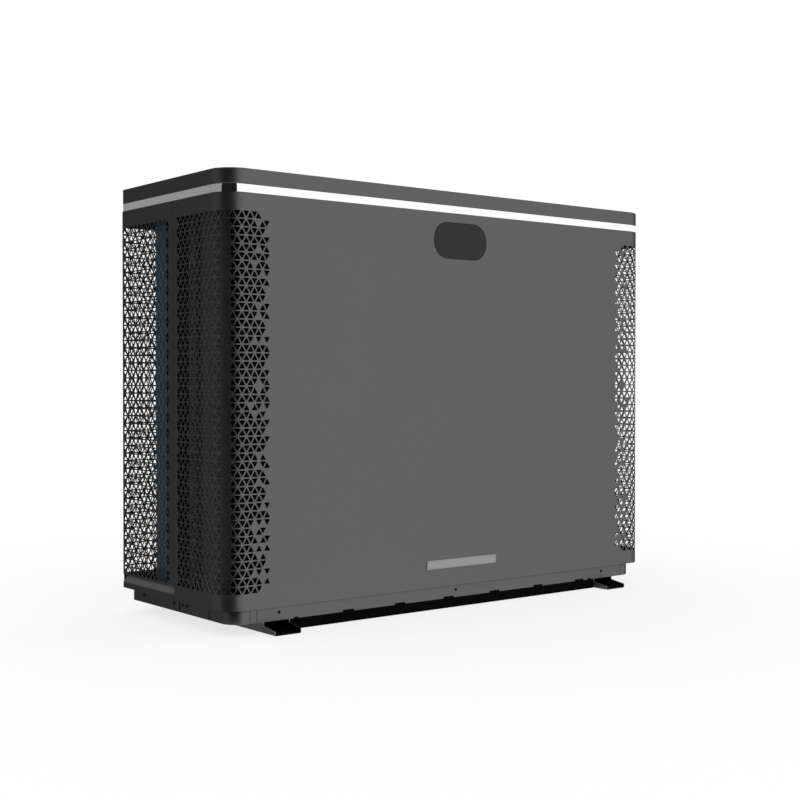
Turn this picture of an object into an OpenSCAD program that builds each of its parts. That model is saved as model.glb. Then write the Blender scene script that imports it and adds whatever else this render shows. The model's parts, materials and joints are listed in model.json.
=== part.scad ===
// Pool and spa heat pump: a free-standing sheet-metal cabinet on two foot rails,
// with an evaporator coil, an axial fan, a compressor and a water heat exchanger inside.
// +Z is up, the front faces -Y, and the origin is on the ground under the middle of the feet.

/* [Cabinet] */
// Width over the side panels
cabinet_w = 1250; // [1200:1:1300]
// Depth from the front panel to the rear panel
cabinet_d = 440; // [436:1:444]
// Height from the ground to the top cover
cabinet_h = 950; // [930:1:980]
// Outer radius of the two vertical front corners
corner_r = 52; // [48:1:56]
// Thickness of the folded sheet metal
sheet_t = 1.5; // [1.2:0.1:1.8]
// Height of the lower edge of the body panels
panel_z = 54; // [52:1:56]
// Height of the lower edge of the bright trim strip
strip_z = 901; // [898:1:904]
// Height of the bright trim strip
strip_h = 17; // [12:1:18]
// How far the trim strip is set in from the panels
strip_inset = 1.5; // [1:0.5:4]
// Distance from the front panel back to the side seams
seam_back = 207; // [205:1:209]

/* [Perforation] */
// Spacing between neighbouring columns of triangular holes
hole_pitch = 19.55; // [19:0.05:20]
// Side length of a triangular hole
hole_side = 28; // [24:0.5:29]
// Number of rows of holes
hole_rows = 23; // [20:1:23]
// Height of the middle of the lowest row
hole_z = 103.4; // [100:0.1:106]

/* [Feet and skirt] */
// Overall length of a foot rail
rail_l = 510; // [506:1:514]
// Width of a foot rail
rail_w = 65; // [60:1:70]
// Height of a foot rail
rail_h = 23; // [22:1:24]
// Distance between the middles of the two rails
rail_span = 980; // [970:1:990]
// How far the rail tips stand out in front of the front panel
rail_tip = 27; // [25:1:29]
// Diameter of the anchor bolt holes
anchor_d = 13; // [11:0.5:14]
// Distance between the anchor holes along a rail
anchor_pitch = 482; // [478:1:486]
// Side inset of the base skirt from the panels
skirt_in_x = 26; // [25:1:27]
// Front inset of the base skirt from the front panel
skirt_in_y = 16; // [15:1:17]

/* [Display] */
// Width of the display window
lens_w = 156; // [150:1:160]
// Height of the display window
lens_h = 81; // [76:1:84]
// Height of the middle of the display window
lens_z = 838.5; // [834:0.5:842]

/* [Fan and coil] */
// Distance of the fan axis left of the middle of the cabinet
fan_x = -150; // [-155:1:-145]
// Height of the fan axis
fan_z = 478; // [470:1:486]
// Radius over the blade tips
fan_r = 256; // [245:1:258]
// Number of fan blades
fan_blades = 5; // [3:1:6]
// Diameter of the fan shaft
fan_shaft_d = 12; // [10:0.5:14]
// Left end of the finned coil
coil_x0 = -549.5; // [-555:0.5:-545]
// Right end of the finned coil
coil_x1 = 258; // [250:1:260]
// Front face of the finned coil
coil_y = 147; // [144:1:149]
// Depth of the finned coil
coil_d = 44; // [40:1:46]

/* [Water connections] */
// Left-right position of both water unions
water_x = 480; // [476:1:484]
// Height of the water inlet
inlet_z = 120; // [115:1:125]
// Height of the water outlet
outlet_z = 420; // [410:1:425]
// Radius of the glue socket for a 50 mm pipe
socket_r = 25.2; // [25.1:0.05:25.4]
// Depth of the glue socket
socket_l = 31; // [28:1:32]

/* [Hidden] */
$fn = 48;
eps = 0.1;
half_w = cabinet_w / 2;
front_y = -rail_l / 2 + rail_tip;
rear_y = front_y + cabinet_d;
seam_y = front_y + seam_back;
pan_z = rail_h;
skirt_x = half_w - skirt_in_x;
skirt_y = front_y + skirt_in_y;
skirt_r = corner_r - skirt_in_y;
pan_rear = rear_y - 2;
pan_wall = 2;
pan_top = 62;
frame_z = 887;
frame_in = 6;
lid_z = strip_z + strip_h;
arc_l = corner_r * PI / 2;
bends = 8;
wing_first = -205.4;
wing_cols = 14;
field_first = seam_y + 32;
field_cols = 10;
row_pitch = hole_pitch * sqrt(3);
window_r = 38;
bulkhead_y = -36;
post_top = frame_z;
post_z = 87;
floor_z = pan_z + 2;
ring_r = fan_r + 11;
partition_x = 299;
header_x = coil_x1 + 31;
header_r = 8;
comp_x = 395;
comp_y = -95;
comp_r = 60;
mount_r = 75;
hx_y = 80;
hx_r = 85;
drain_x = -150;
drain_y = 60;
cable_x = 560;
panel_edge = half_w - sheet_t - eps;
gland_x = 588;
gland_z = 560;
thread_r = 33;
tail_r = 29;
box_low = [306, -196, 600];
box_high = [540, -90, 860];
run_gap = 0.06;

// ---- shared shapes ----

// A rectangle whose two front corners are rounded.
module rounded_front(x, y0, y1, r) {
    for (s = [-1, 1])
        translate([s * (x - r), y0 + r])
            circle(r, $fn = 96);
    translate([r - x, y0])
        square([2 * (x - r), r + 1]);
    translate([-x, y0 + r])
        square([2 * x, y1 - y0 - r]);
}

// The cabinet's outline, set in by a distance on every side.
module outline(inset) {
    rounded_front(half_w - inset, front_y + inset, rear_y - inset, corner_r - inset);
}

// The front panel's line in plan, from the left seam round both bent corners to the right seam.
function bent_line(inset) = concat(
    [[inset - half_w, seam_y]],
    [for (side = [-1, 1], k = [0 : bends]) let(turn = 225 + 45 * side + 90 * k / bends)
        [side * (half_w - corner_r), front_y + corner_r] + (corner_r - inset) * [cos(turn), sin(turn)]],
    [[half_w - inset, seam_y]]);

// A sheet, t thick, that follows the front panel's line.
module bent_sheet(inset, t) {
    inner = bent_line(inset + t);
    last = len(inner) - 1;
    polygon(concat(bent_line(inset), [for (k = [0 : last]) inner[last - k]]));
}

// A rectangle with round corners, centred.
module pill(w, h, r) {
    for (sx = [-1, 1], sy = [-1, 1])
        translate([sx * (w / 2 - r), sy * (h / 2 - r)])
            circle(r);
    square([w - 2 * r, h], center = true);
    square([w, h - 2 * r], center = true);
}

// A prism along Y, from the front depth y0 to y1, of a shape drawn in X and Z.
module along_y(y0, y1) {
    translate([0, y1, 0])
        rotate([90, 0, 0])
            linear_extrude(y1 - y0)
                children();
}

// A round bar along Y.
module rod_y(x, z, r, y0, y1) {
    translate([x, y0, z])
        rotate([-90, 0, 0])
            cylinder(r = r, h = y1 - y0);
}

// A box between two corners.
module block(a, b) {
    translate(a)
        cube(b - a);
}

// Keeps a left-hand shape for s = -1 and mirrors it to the right for s = 1.
module mirrored(s) {
    mirror([s > 0 ? 1 : 0, 0, 0])
        children();
}

// One triangular hole, pointing up or down, as a prism along Y.
module tri_prism(up, depth) {
    rotate([90, 0, 0])
        linear_extrude(depth, center = true)
            polygon([for (k = [0 : 2])
                hole_side / sqrt(3) * [cos(120 * k + (up ? 90 : -90)), sin(120 * k + (up ? 90 : -90))]]);
}

// Height of a triangle's centroid: up and down triangles fill the same row.
function row_z(row, up) = hole_z + row * row_pitch + (up ? -1 : 1) * hole_side * sqrt(3) / 12;

// Puts a shape on the front panel's sheet, s along it from the left front corner's tangent.
module on_sheet(s) {
    turn = min(max(-s, 0), arc_l) / arc_l * 90;
    translate([corner_r - half_w, front_y + corner_r, 0])
        rotate([0, 0, -turn])
            translate([max(s, 0) + min(s + arc_l, 0), -corner_r, 0])
                children();
}

// A repeatable scatter between 0 and 1 for a hole, by its row and its column from the ragged edge.
function scatter(edge, row) = let(n = 45.8 * sin(160 * row + 241.8 * edge)) n - floor(n);

// Whether a hole in the three ragged edge columns is left out.
function skipped(col, row) = let(edge = wing_cols - 1 - col)
    edge < 3 && scatter(edge, row) < 0.45 - 0.15 * edge;

// The perforated wing round the left front corner.
module wing_holes() {
    for (row = [0 : hole_rows - 1], col = [0 : wing_cols - 1])
        if (!skipped(col, row))
            on_sheet(wing_first + col * hole_pitch)
                translate([0, 1, row_z(row, (row + col) % 2 == 0)])
                    tri_prism((row + col) % 2 == 0, 14);
}

// ---- base ----

module pan_shape(inset) {
    rounded_front(skirt_x - inset, skirt_y + inset, pan_rear - inset + sheet_t, skirt_r - inset);
}

module base_pan() {
    color("DimGray")
    difference() {
        translate([0, 0, pan_z])
            linear_extrude(pan_top - pan_z)
                pan_shape(sheet_t);
        translate([0, 0, floor_z])
            linear_extrude(pan_top)
                pan_shape(sheet_t + pan_wall);
        for (s = [-1, 1]) {
            // notches in the side walls where the skirts meet
            block([s * skirt_x - 8, seam_y + 19, floor_z], [s * skirt_x + 8, seam_y + 24, pan_top + 1]);
            block([s * skirt_x - 8, front_y + 102, floor_z], [s * skirt_x + 8, front_y + 106, pan_top + 1]);
        }
        translate([drain_x, drain_y, 0])
            cylinder(r = 9.1, h = pan_top);
        skirt_screw_places(2);
    }
}

// Every place where a screw holds a skirt, as a bar of radius r.
module skirt_screw_places(r) {
    for (x = [-484, 0, 484])
        rod_y(x, 40, r, skirt_y - 4, skirt_y + 8);
    for (s = [-1, 1], back = [197, 216, 252, 390])
        translate([s * (skirt_x - 2), front_y + back, 40])
            rotate([0, 90, 0])
                cylinder(r = r, h = 12, center = true);
}

module skirt_band(y0, y1, x0, x1) {
    translate([0, 0, pan_z])
        linear_extrude(panel_z - pan_z - 0.5)
            intersection() {
                difference() {
                    pan_shape(0);
                    pan_shape(sheet_t);
                }
                translate([x0, y0])
                    square([x1 - x0, y1 - y0]);
            }
}

module front_skirt() {
    end_x = half_w - 71;
    color("DimGray")
    difference() {
        skirt_band(skirt_y, skirt_y + sheet_t, -end_x, end_x);
        for (x = [-305.5 : 142 : 405])
            block([x - 15, skirt_y - 1, pan_z - 1], [x + 15, skirt_y + 5, pan_z + 4]);
        for (s = [-1, 1])
            // the short notch beside each foot
            block([s * 441 - 6, skirt_y - 1, pan_z - 1], [s * 441 + 6, skirt_y + 5, pan_z + 3]);
        // the slit beside the left end tab
        translate([15.5 - end_x, skirt_y - 1, pan_z - 1])
            cube([1, 6, panel_z - pan_z - 3]);
        skirt_screw_places(2);
    }
}

module corner_skirt(s) {
    color("DimGray")
    mirrored(s)
        skirt_band(skirt_y - 1, front_y + 102, -half_w, -half_w + 70);
}
module left_corner_skirt() { corner_skirt(-1); }
module right_corner_skirt() { corner_skirt(1); }

module side_skirt(s) {
    color("DimGray")
    difference() {
        mirrored(s) {
            skirt_band(front_y + 106, seam_y + 19, -half_w, -half_w + 60);
            skirt_band(seam_y + 24, rear_y - sheet_t, -half_w, -half_w + 27.5);
        }
        skirt_screw_places(2);
    }
}
module left_side_skirt() { side_skirt(-1); }
module right_side_skirt() { side_skirt(1); }

module rear_skirt() {
    color("DimGray")
        block([-skirt_x, rear_y - sheet_t + eps, pan_z], [skirt_x, rear_y, panel_z - 0.5]);
}

// A foot rail: a channel open at the top, with sloping ends.
module foot_rail(s) {
    end_y = rail_l / 2;
    shoulder_y = cabinet_d / 2 - 8;
    color("DimGray")
    translate([s * rail_span / 2, 0, 0])
        difference() {
            rotate([90, 0, 90])
                linear_extrude(rail_w, center = true)
                    polygon([
                        [-end_y, 0], [-end_y, 9.5], [-shoulder_y, rail_h - 7], [-shoulder_y, rail_h],
                        [shoulder_y, rail_h], [shoulder_y, rail_h - 7], [end_y, 9.5], [end_y, 0]]);
            block([-rail_w / 2 + 2.5, -rail_l, 2.5], [rail_w / 2 - 2.5, rail_l, rail_h + 1]);
            for (sy = [-1, 1])
                translate([0, sy * anchor_pitch / 2, -1])
                    cylinder(d = anchor_d, h = 5);
        }
}
module left_foot_rail() { foot_rail(-1); }
module right_foot_rail() { foot_rail(1); }

// A cross member between the rails, open at the back.
module crossbar(y, s) {
    len = rail_span - rail_w - 1;
    color("Black")
    translate([-len / 2, y, 0])
        difference() {
            block([0, s > 0 ? 0 : -40, 0], [len, s > 0 ? 40 : 0, rail_h]);
            block([-1, s > 0 ? 2 : -41, 2], [len + 1, s > 0 ? 41 : -2, rail_h - 2]);
        }
}
module crossbars() {
    crossbar(skirt_y + 2, 1);
    crossbar(rear_y - 4, -1);
}

// ---- frame ----

// An upright with an L section; a and b are its legs from the corner.
module upright(corner, a, b, z0) {
    translate([corner[0], corner[1], z0])
        linear_extrude(post_top - z0)
            difference() {
                square([a, b]);
                translate([sheet_t, sheet_t])
                    square([a, b]);
            }
}

module front_posts() {
    color("Gray")
    for (s = [-1, 1])
        mirrored(s)
            upright([-half_w + 29.6, front_y + 78], 34, 60, floor_z);
}

module mid_posts() {
    color("Black")
    for (s = [-1, 1])
        mirrored(s)
            translate([-half_w + sheet_t + 0.5, bulkhead_y, post_z])
                linear_extrude(post_top - post_z)
                    difference() {
                        square([25, 30]);
                        translate([sheet_t, sheet_t])
                            square([30, 30 - 2 * sheet_t]);
                    }
}

// The ring under the top cover, with an L section.
module top_frame() {
    color("Gray")
    translate([0, 0, frame_z])
        difference() {
            linear_extrude(lid_z - frame_z)
                outline(frame_in);
            translate([0, 0, sheet_t])
                linear_extrude(lid_z)
                    outline(frame_in + sheet_t);
            translate([0, 0, -1])
                linear_extrude(lid_z)
                    outline(frame_in + 24);
        }
}

// ---- panels ----

// The front panel and both perforated corners are one sheet.
module front_panel() {
    color("DimGray")
    difference() {
        union() {
            translate([0, 0, panel_z])
                linear_extrude(strip_z - panel_z)
                    bent_sheet(0, sheet_t);
            translate([0, 0, panel_z])
                linear_extrude(sheet_t)
                    intersection() {
                        difference() {
                            outline(1);
                            pan_shape(0);
                        }
                        translate([-half_w, front_y])
                            square([cabinet_w, seam_back]);
                    }
            translate([0, 0, strip_z - sheet_t])
                linear_extrude(sheet_t)
                    bent_sheet(1, frame_in - 1.5);
        }
        wing_holes();
        mirror([1, 0, 0])
            wing_holes();
        along_y(front_y - 1, front_y + 3)
            translate([0, lens_z])
                pill(lens_w + 2, lens_h + 2, window_r + 1);
    }
}

// A side panel behind the seam, with a sloping grip groove near its foot.
module rear_side_panel(s) {
    low = 67;
    high = 84;
    deep = 8;
    color("DimGray")
    mirrored(s)
        difference() {
            translate([-half_w, rear_y, 0])
                rotate([90, 0, 0])
                    linear_extrude(rear_y - seam_y - 1)
                        polygon([
                            [0, panel_z], [0, low], [deep, high - sheet_t], [0, high], [0, strip_z],
                            [frame_in - 0.2, strip_z], [frame_in - 0.2, strip_z - sheet_t],
                            [sheet_t, strip_z - sheet_t], [sheet_t, high + 1], [deep + 2.5, high + 0.2],
                            [deep + 2.5, high - 2], [sheet_t, low - 1], [sheet_t, panel_z]]);
            // room for the rear panel between the side panels
            block([-half_w + sheet_t, rear_y - sheet_t - eps, panel_z - 1],
                [-half_w + 20, rear_y + 1, strip_z + 1]);
            for (row = [0 : hole_rows - 1], col = [0 : field_cols - 1])
                translate([-half_w, field_first + col * hole_pitch, row_z(row, (row + col) % 2 == 0)])
                    rotate([0, 0, 90])
                        tri_prism((row + col) % 2 == 0, 14);
        }
}
module left_rear_panel() { rear_side_panel(-1); }
module right_rear_panel() { rear_side_panel(1); }

// The rear panel: perforated at its left end, with windows for the coil and the water unions.
module rear_panel() {
    color("DimGray")
    difference() {
        block([-panel_edge, rear_y - sheet_t, panel_z], [cable_x, rear_y, strip_z]);
        for (row = [0 : hole_rows - 1], col = [0 : 2])
            translate([-595 + col * hole_pitch, rear_y, row_z(row, (row + col) % 2 == 0)])
                tri_prism((row + col) % 2 == 0, 14);
        block([coil_x0 + 15, rear_y - 5, 78], [coil_x1 - 15, rear_y + 5, 862]);
        block([water_x - 66, rear_y - 5, pan_top + 5], [water_x + 66, rear_y + 5, 488]);
        rear_screw_places(2);
    }
}

// The narrow panel at the rear right corner, which carries the cable glands.
module cable_panel() {
    color("DimGray")
    difference() {
        block([cable_x + eps, rear_y - sheet_t, panel_z], [panel_edge, rear_y, strip_z]);
        for (k = [0, 1])
            rod_y(gland_x, gland_z + 40 * k, 10, rear_y - 5, rear_y + 5);
        rear_screw_places(2);
    }
}

module top_cover() {
    color("DimGray")
    difference() {
        translate([0, 0, lid_z])
            linear_extrude(cabinet_h - lid_z)
                outline(0);
        translate([0, 0, lid_z + sheet_t])
            linear_extrude(cabinet_h - lid_z - 2 * sheet_t)
                outline(sheet_t);
        translate([0, 0, lid_z - 1])
            linear_extrude(5)
                outline(30);
        lid_screw_places(2);
    }
}

// The trim strip's outline in plan: set in at the front and sides, flush at the rear.
module strip_outline(inset, rear_inset) {
    rounded_front(half_w - inset, front_y + inset, rear_y - rear_inset, corner_r - inset);
}

module strip(y0, y1) {
    color("Silver")
    translate([0, 0, strip_z])
        linear_extrude(strip_h)
            intersection() {
                difference() {
                    strip_outline(strip_inset, 0);
                    strip_outline(strip_inset + sheet_t, sheet_t);
                }
                translate([-cabinet_w, y0])
                    square([2 * cabinet_w, y1 - y0]);
            }
}
module front_trim_strip() { strip(front_y, front_y + 53); }
module rear_trim_strip() { strip(rear_y - 10, rear_y); }
module side_strip(s) {
    mirrored(s)
        intersection() {
            strip(front_y + 53.5, rear_y - 10.5);
            block([-half_w, front_y, 0], [-half_w + 60, rear_y, cabinet_h]);
        }
}
module left_trim_strip() { side_strip(-1); }
module right_trim_strip() { side_strip(1); }

// ---- display ----

module display_lens() {
    color("DarkSlateGray")
    along_y(front_y + 0.2, front_y + 3)
        translate([0, lens_z])
            pill(lens_w, lens_h, window_r);
}

module display_housing() {
    back = front_y + 24;
    color("Black")
    difference() {
        along_y(front_y + sheet_t, back)
            translate([0, lens_z])
                pill(lens_w + 20, lens_h + 12, window_r);
        along_y(front_y - 1, front_y + 3)
            translate([0, lens_z])
                pill(lens_w + 1, lens_h + 1, window_r);
        along_y(front_y + 2, back - 2)
            translate([0, lens_z])
                square([110, 56], center = true);
    }
}

module display_board() {
    color("DarkGreen")
    along_y(front_y + 20.4, front_y + 22)
        translate([0, lens_z])
            square([106, 52], center = true);
}

module nameplate() {
    color("Silver")
    along_y(front_y - 1.2, front_y)
        translate([5, 105])
            pill(210, 20, 4);
}

// ---- coil ----

// The fin pack, as one block.
module coil_fins() {
    color("SteelBlue")
        block([coil_x0, coil_y, 68], [coil_x1, coil_y + coil_d, 868]);
}

module coil_end_plates() {
    color("Silver")
    for (x = [coil_x0 - sheet_t, coil_x1])
        block([x, coil_y - 3, floor_z], [x + sheet_t, coil_y + coil_d + 3, post_top]);
}

// Return bends that join the coil's tubes at its right end, and the header beside them.
module coil_pipework() {
    tube_r = 4.75;
    bend_r = 12.5;
    end_x = coil_x1 + sheet_t;
    color("Peru") {
        for (row = [0, 1], k = [0 : 15])
            translate([end_x, coil_y + 11 + 22 * row, 93 + 50 * k])
                rotate([90, 90, 0])
                    rotate_extrude(angle = 180)
                        translate([bend_r, 0])
                            circle(tube_r);
        translate([header_x, coil_y + 22, 100])
            cylinder(r = header_r, h = 700);
        for (k = [0 : 7])
            translate([end_x, coil_y + 22, 130 + 90 * k])
                rotate([0, 90, 0])
                    cylinder(r = 4, h = header_x - header_r / 2 - end_x);
    }
}

// The grid that covers the coil from behind.
module coil_guard() {
    x0 = coil_x0 + 8;
    x1 = coil_x1 - 8;
    cols = 16;
    rows = 8;
    cell_w = (x1 - x0 - 6) / cols;
    cell_h = (868 - 72 - 6) / rows;
    color("Black")
    along_y(rear_y - sheet_t - 3, rear_y - sheet_t)
        difference() {
            translate([x0, 72])
                square([x1 - x0, 868 - 72]);
            for (i = [0 : cols - 1], j = [0 : rows - 1])
                translate([x0 + 6 + i * cell_w, 78 + j * cell_h])
                    square([cell_w - 6, cell_h - 6]);
        }
}

// ---- fan ----

module fan_bulkhead() {
    color("LightGray")
    along_y(bulkhead_y, bulkhead_y + sheet_t)
        difference() {
            translate([-half_w + 30, floor_z])
                square([half_w - 30 + partition_x, post_top - floor_z]);
            translate([fan_x, fan_z])
                circle(ring_r + 3);
        }
}

// The foam strip between the bulkhead and the perforated corner.
module bulkhead_seals() {
    color("Black")
        block([-577, bulkhead_y - 4, pan_top + 1], [-552, bulkhead_y, post_top]);
}

// Moulded orifice plate with its round bell mouth.
module fan_shroud() {
    color("Black")
    difference() {
        union() {
            block([fan_x - 290, bulkhead_y - 4, pan_top + 1], [fan_x + 290, bulkhead_y, post_top]);
            rod_y(fan_x, fan_z, ring_r + 4, bulkhead_y - 76, bulkhead_y);
        }
        rod_y(fan_x, fan_z, ring_r, bulkhead_y - 80, bulkhead_y + 4);
    }
}

// The moulded fan: a hub and pitched blades on one bore.
module fan() {
    hub_r = 62;
    color("DarkGray")
    difference() {
        union() {
            rod_y(fan_x, fan_z, hub_r, bulkhead_y - 70, bulkhead_y - 12);
            intersection() {
                translate([fan_x, bulkhead_y - 41, fan_z])
                    for (k = [0 : fan_blades - 1])
                        rotate([0, 360 / fan_blades * k, 0])
                            rotate([0, 0, 26])
                                along_y(-1.75, 1.75)
                                    translate([0, hub_r - 10 + (fan_r + 10) / 2 - 20])
                                        pill(118, fan_r, 40);
                rod_y(fan_x, fan_z, fan_r, bulkhead_y - 80, bulkhead_y);
            }
        }
        rod_y(fan_x, fan_z, fan_shaft_d / 2, bulkhead_y - 80, bulkhead_y);
    }
}

module fan_shaft() {
    color("Silver")
        rod_y(fan_x, fan_z, fan_shaft_d / 2, bulkhead_y - 84, bulkhead_y + 60);
}

module fan_nut() {
    color("Silver")
    translate([fan_x, bulkhead_y - 70, fan_z])
        rotate([90, 0, 0])
            difference() {
                cylinder(r = 11, h = 10, $fn = 6);
                translate([0, 0, -1])
                    cylinder(d = fan_shaft_d, h = 12);
            }
}

module fan_motor() {
    color("DarkSlateGray")
    difference() {
        union() {
            rod_y(fan_x, fan_z, 24, bulkhead_y + 2, bulkhead_y + 14);
            rod_y(fan_x, fan_z, 58, bulkhead_y + 14, bulkhead_y + 96);
        }
        rod_y(fan_x, fan_z, fan_shaft_d / 2 + run_gap, bulkhead_y + 1, bulkhead_y + 70);
    }
}

module fan_motor_bracket() {
    color("LightGray")
    along_y(bulkhead_y + 96, bulkhead_y + 99) {
        for (s = [-1, 1])
            translate([fan_x + s * 70 - 14, floor_z])
                square([28, post_top - floor_z]);
        translate([fan_x - 70, fan_z - 50])
            square([140, 100]);
    }
}

module partition() {
    color("LightGray")
    difference() {
        block([partition_x, skirt_y + 5, floor_z], [partition_x + sheet_t, pan_rear - 4, post_top]);
        for (hole = [[hx_y, 175, 9], [coil_y + 22, 560, 12]])
            translate([partition_x - 1, hole[0], hole[1]])
                rotate([0, 90, 0])
                    cylinder(r = hole[2], h = 5);
    }
}

// ---- compressor and refrigerant circuit ----

// A can with coned ends.
module can(r, z0, z1, taper) {
    translate([0, 0, z0])
        cylinder(r1 = r * 0.6, r2 = r, h = taper);
    translate([0, 0, z0 + taper])
        cylinder(r = r, h = z1 - z0 - 2 * taper);
    translate([0, 0, z1 - taper])
        cylinder(r1 = r, r2 = r * 0.6, h = taper);
}

module compressor_mount_places(r, z0, z1) {
    for (k = [0 : 2])
        translate([comp_x, comp_y, z0])
            rotate([0, 0, 120 * k + 30])
                translate([mount_r, 0, 0])
                    cylinder(r = r, h = z1 - z0);
}

module compressor() {
    color("Black")
    difference() {
        union() {
            translate([comp_x, comp_y, 0]) {
                can(comp_r, 60, 360, 16);
                translate([0, 0, 58])
                    cylinder(r = 88, h = 4);
            }
            block([comp_x - 22, comp_y - comp_r - 24, 240], [comp_x + 22, comp_y, 300]);
        }
        compressor_mount_places(4.5, 50, 70);
    }
}

module compressor_grommets() {
    color("DarkSlateGray")
    difference() {
        compressor_mount_places(12, floor_z, 58);
        compressor_mount_places(4.5, floor_z - 1, 70);
    }
}

module compressor_bolts() {
    color("Silver") {
        compressor_mount_places(4, floor_z, 78);
        difference() {
            compressor_mount_places(8, 62, 69);
            compressor_mount_places(4.1, 60, 72);
        }
    }
}

module accumulator() {
    color("Black")
    translate([comp_x + 97, comp_y, 0])
        can(30, 110, 350, 14);
}

// A pipe along a list of corner points, with ball elbows.
module pipe(points, r) {
    for (i = [1 : len(points) - 1]) {
        a = points[i - 1];
        b = points[i];
        run = b - a;
        translate(a)
            rotate([0, acos(run[2] / norm(run)), atan2(run[1], run[0])])
                cylinder(r = r, h = norm(run));
        if (i < len(points) - 1)
            translate(b)
                sphere(r = r);
    }
}

module refrigerant_pipes() {
    valve_z = 487;
    color("Peru") {
        pipe([[comp_x, comp_y, 360], [comp_x, comp_y, 453]], 6.4);
        pipe([[comp_x + 60, comp_y, 92], [comp_x + 97, comp_y, 92], [comp_x + 97, comp_y, 110]], 8);
        pipe([[comp_x - 25, comp_y, valve_z], [comp_x - 25, comp_y, 560],
            [comp_x - 25, coil_y + 22, 560], [header_x + header_r, coil_y + 22, 560]], 8);
        pipe([[comp_x, comp_y, valve_z], [comp_x, comp_y, 515], [comp_x, comp_y - 45, 515],
            [comp_x + 97, comp_y - 45, 515], [comp_x + 97, comp_y - 45, 420],
            [comp_x + 97, comp_y, 420], [comp_x + 97, comp_y, 350]], 8);
        pipe([[comp_x + 25, comp_y, valve_z], [comp_x + 25, comp_y, 575],
            [comp_x + 25, hx_y, 575], [water_x, hx_y, 575], [water_x, hx_y, 535]], 8);
        pipe([[water_x - hx_r, hx_y, 60], [340, hx_y, 60], [340, hx_y, 150]], 5);
        pipe([[326, hx_y, 175], [header_x, hx_y, 175], [header_x, coil_y + 22 - header_r, 175]], 5);
    }
}

module four_way_valve() {
    color("Goldenrod") {
        translate([comp_x - 55, comp_y, 470])
            rotate([0, 90, 0])
                cylinder(r = 17, h = 110);
        rod_y(comp_x - 25, 470, 14, comp_y - 58, comp_y);
    }
}

module expansion_valve() {
    color("Goldenrod") {
        translate([340, hx_y, 150])
            cylinder(r = 14, h = 45);
        translate([340, hx_y, 195])
            cylinder(r = 19, h = 34);
    }
}

module heat_exchanger() {
    color("DarkSlateGray")
    difference() {
        union() {
            translate([water_x, hx_y, 0]) {
                translate([0, 0, floor_z])
                    cylinder(r = hx_r + 7, h = 20);
                translate([0, 0, floor_z])
                    cylinder(r = hx_r, h = 500);
                translate([0, 0, 515])
                    cylinder(r = hx_r + 7, h = 20);
            }
            for (z = [inlet_z, outlet_z])
                rod_y(water_x, z, 30, hx_y, 186);
        }
        for (z = [inlet_z, outlet_z])
            rod_y(water_x, z, 20, hx_y, 190);
    }
}

// ---- water connections ----

// The recessed tray round the two unions.
module connection_box() {
    a = [water_x - 70, 187, pan_top + 1];
    b = [water_x + 70, rear_y - sheet_t, 492];
    color("DimGray")
    difference() {
        block(a, b);
        block(a + [2, 2, 2], b + [-2, 5, -2]);
        for (z = [inlet_z, outlet_z])
            rod_y(water_x, z, 42, 180, 195);
    }
}

module union_bodies() {
    color("DarkSlateGray")
    for (z = [inlet_z, outlet_z])
        difference() {
            union() {
                rod_y(water_x, z, 40, 186, 196);
                rod_y(water_x, z, thread_r, 196, 212);
            }
            rod_y(water_x, z, 20, 180, 220);
        }
}

module union_nut(z) {
    color("Black")
    difference() {
        rod_y(water_x, z, 43, 198, 227);
        rod_y(water_x, z, thread_r + run_gap, 190, 217.1);
        rod_y(water_x, z, tail_r + run_gap, 210, 230);
        for (k = [0 : 7])
            translate([water_x, 0, z])
                rotate([0, 45 * k, 0])
                    rod_y(0, 46.5, 6, 197, 228);
    }
}
module inlet_union_nut() { union_nut(inlet_z); }
module outlet_union_nut() { union_nut(outlet_z); }

module union_tails() {
    end_y = rail_l / 2;
    color("DarkSlateGray")
    for (z = [inlet_z, outlet_z])
        difference() {
            union() {
                rod_y(water_x, z, thread_r - eps, 212, 217);
                rod_y(water_x, z, tail_r, 212, end_y);
            }
            rod_y(water_x, z, 20, 200, end_y);
            rod_y(water_x, z, socket_r, end_y - socket_l, end_y + 1);
        }
}

// ---- electrics ----

module control_box() {
    color("Silver")
    difference() {
        block(box_low, box_high);
        block(box_low + [2, -1, 2], box_high - [2, 2, 2]);
    }
}

module control_box_lid() {
    color("Silver")
        block([box_low[0], box_low[1] - 2, box_low[2]], [box_high[0], box_low[1], box_high[2]]);
}

// Inverter board on stand-offs, its heat sink, the terminal block and the choke.
module control_electronics() {
    color("DarkGreen") {
        block([330, -104, 640], [500, -102, 840]);
        for (x = [340, 490], z = [650, 830])
            rod_y(x, z, 4, -102, -92);
    }
    color("Gray") {
        for (x = [330 : 12 : 480])
            block([x, -84, 650], [x + 3, -56, 830]);
        block([330, -90, 650], [489, -84, 830]);
    }
    color("Ivory")
        block([330, -150, 602], [430, -120, 626]);
    color("Black")
        block([455, -160, 602], [525, -110, 632]);
}

module cable_glands() {
    color("Black")
    for (k = [0, 1])
        difference() {
            translate([gland_x, 0, gland_z + 40 * k]) {
                rod_y(0, 0, 9.8, 200, 212);
                rod_y(0, 0, 13, 212, 222);
                rod_y(0, 0, 11, 222, 236);
                rod_y(0, 0, 12.5, 205, 210.5);
            }
            rod_y(gland_x, gland_z + 40 * k, 7, 190, 240);
        }
}

module drain_spout() {
    color("Black")
    translate([drain_x, drain_y, 0])
        difference() {
            union() {
                translate([0, 0, 3])
                    cylinder(r = 10, h = pan_z - 3);
                translate([0, 0, pan_z])
                    cylinder(r = 9, h = 2);
                translate([0, 0, floor_z])
                    cylinder(r = 16, h = 2);
            }
            cylinder(r = 7, h = 40);
        }
}

// ---- fasteners ----

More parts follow.
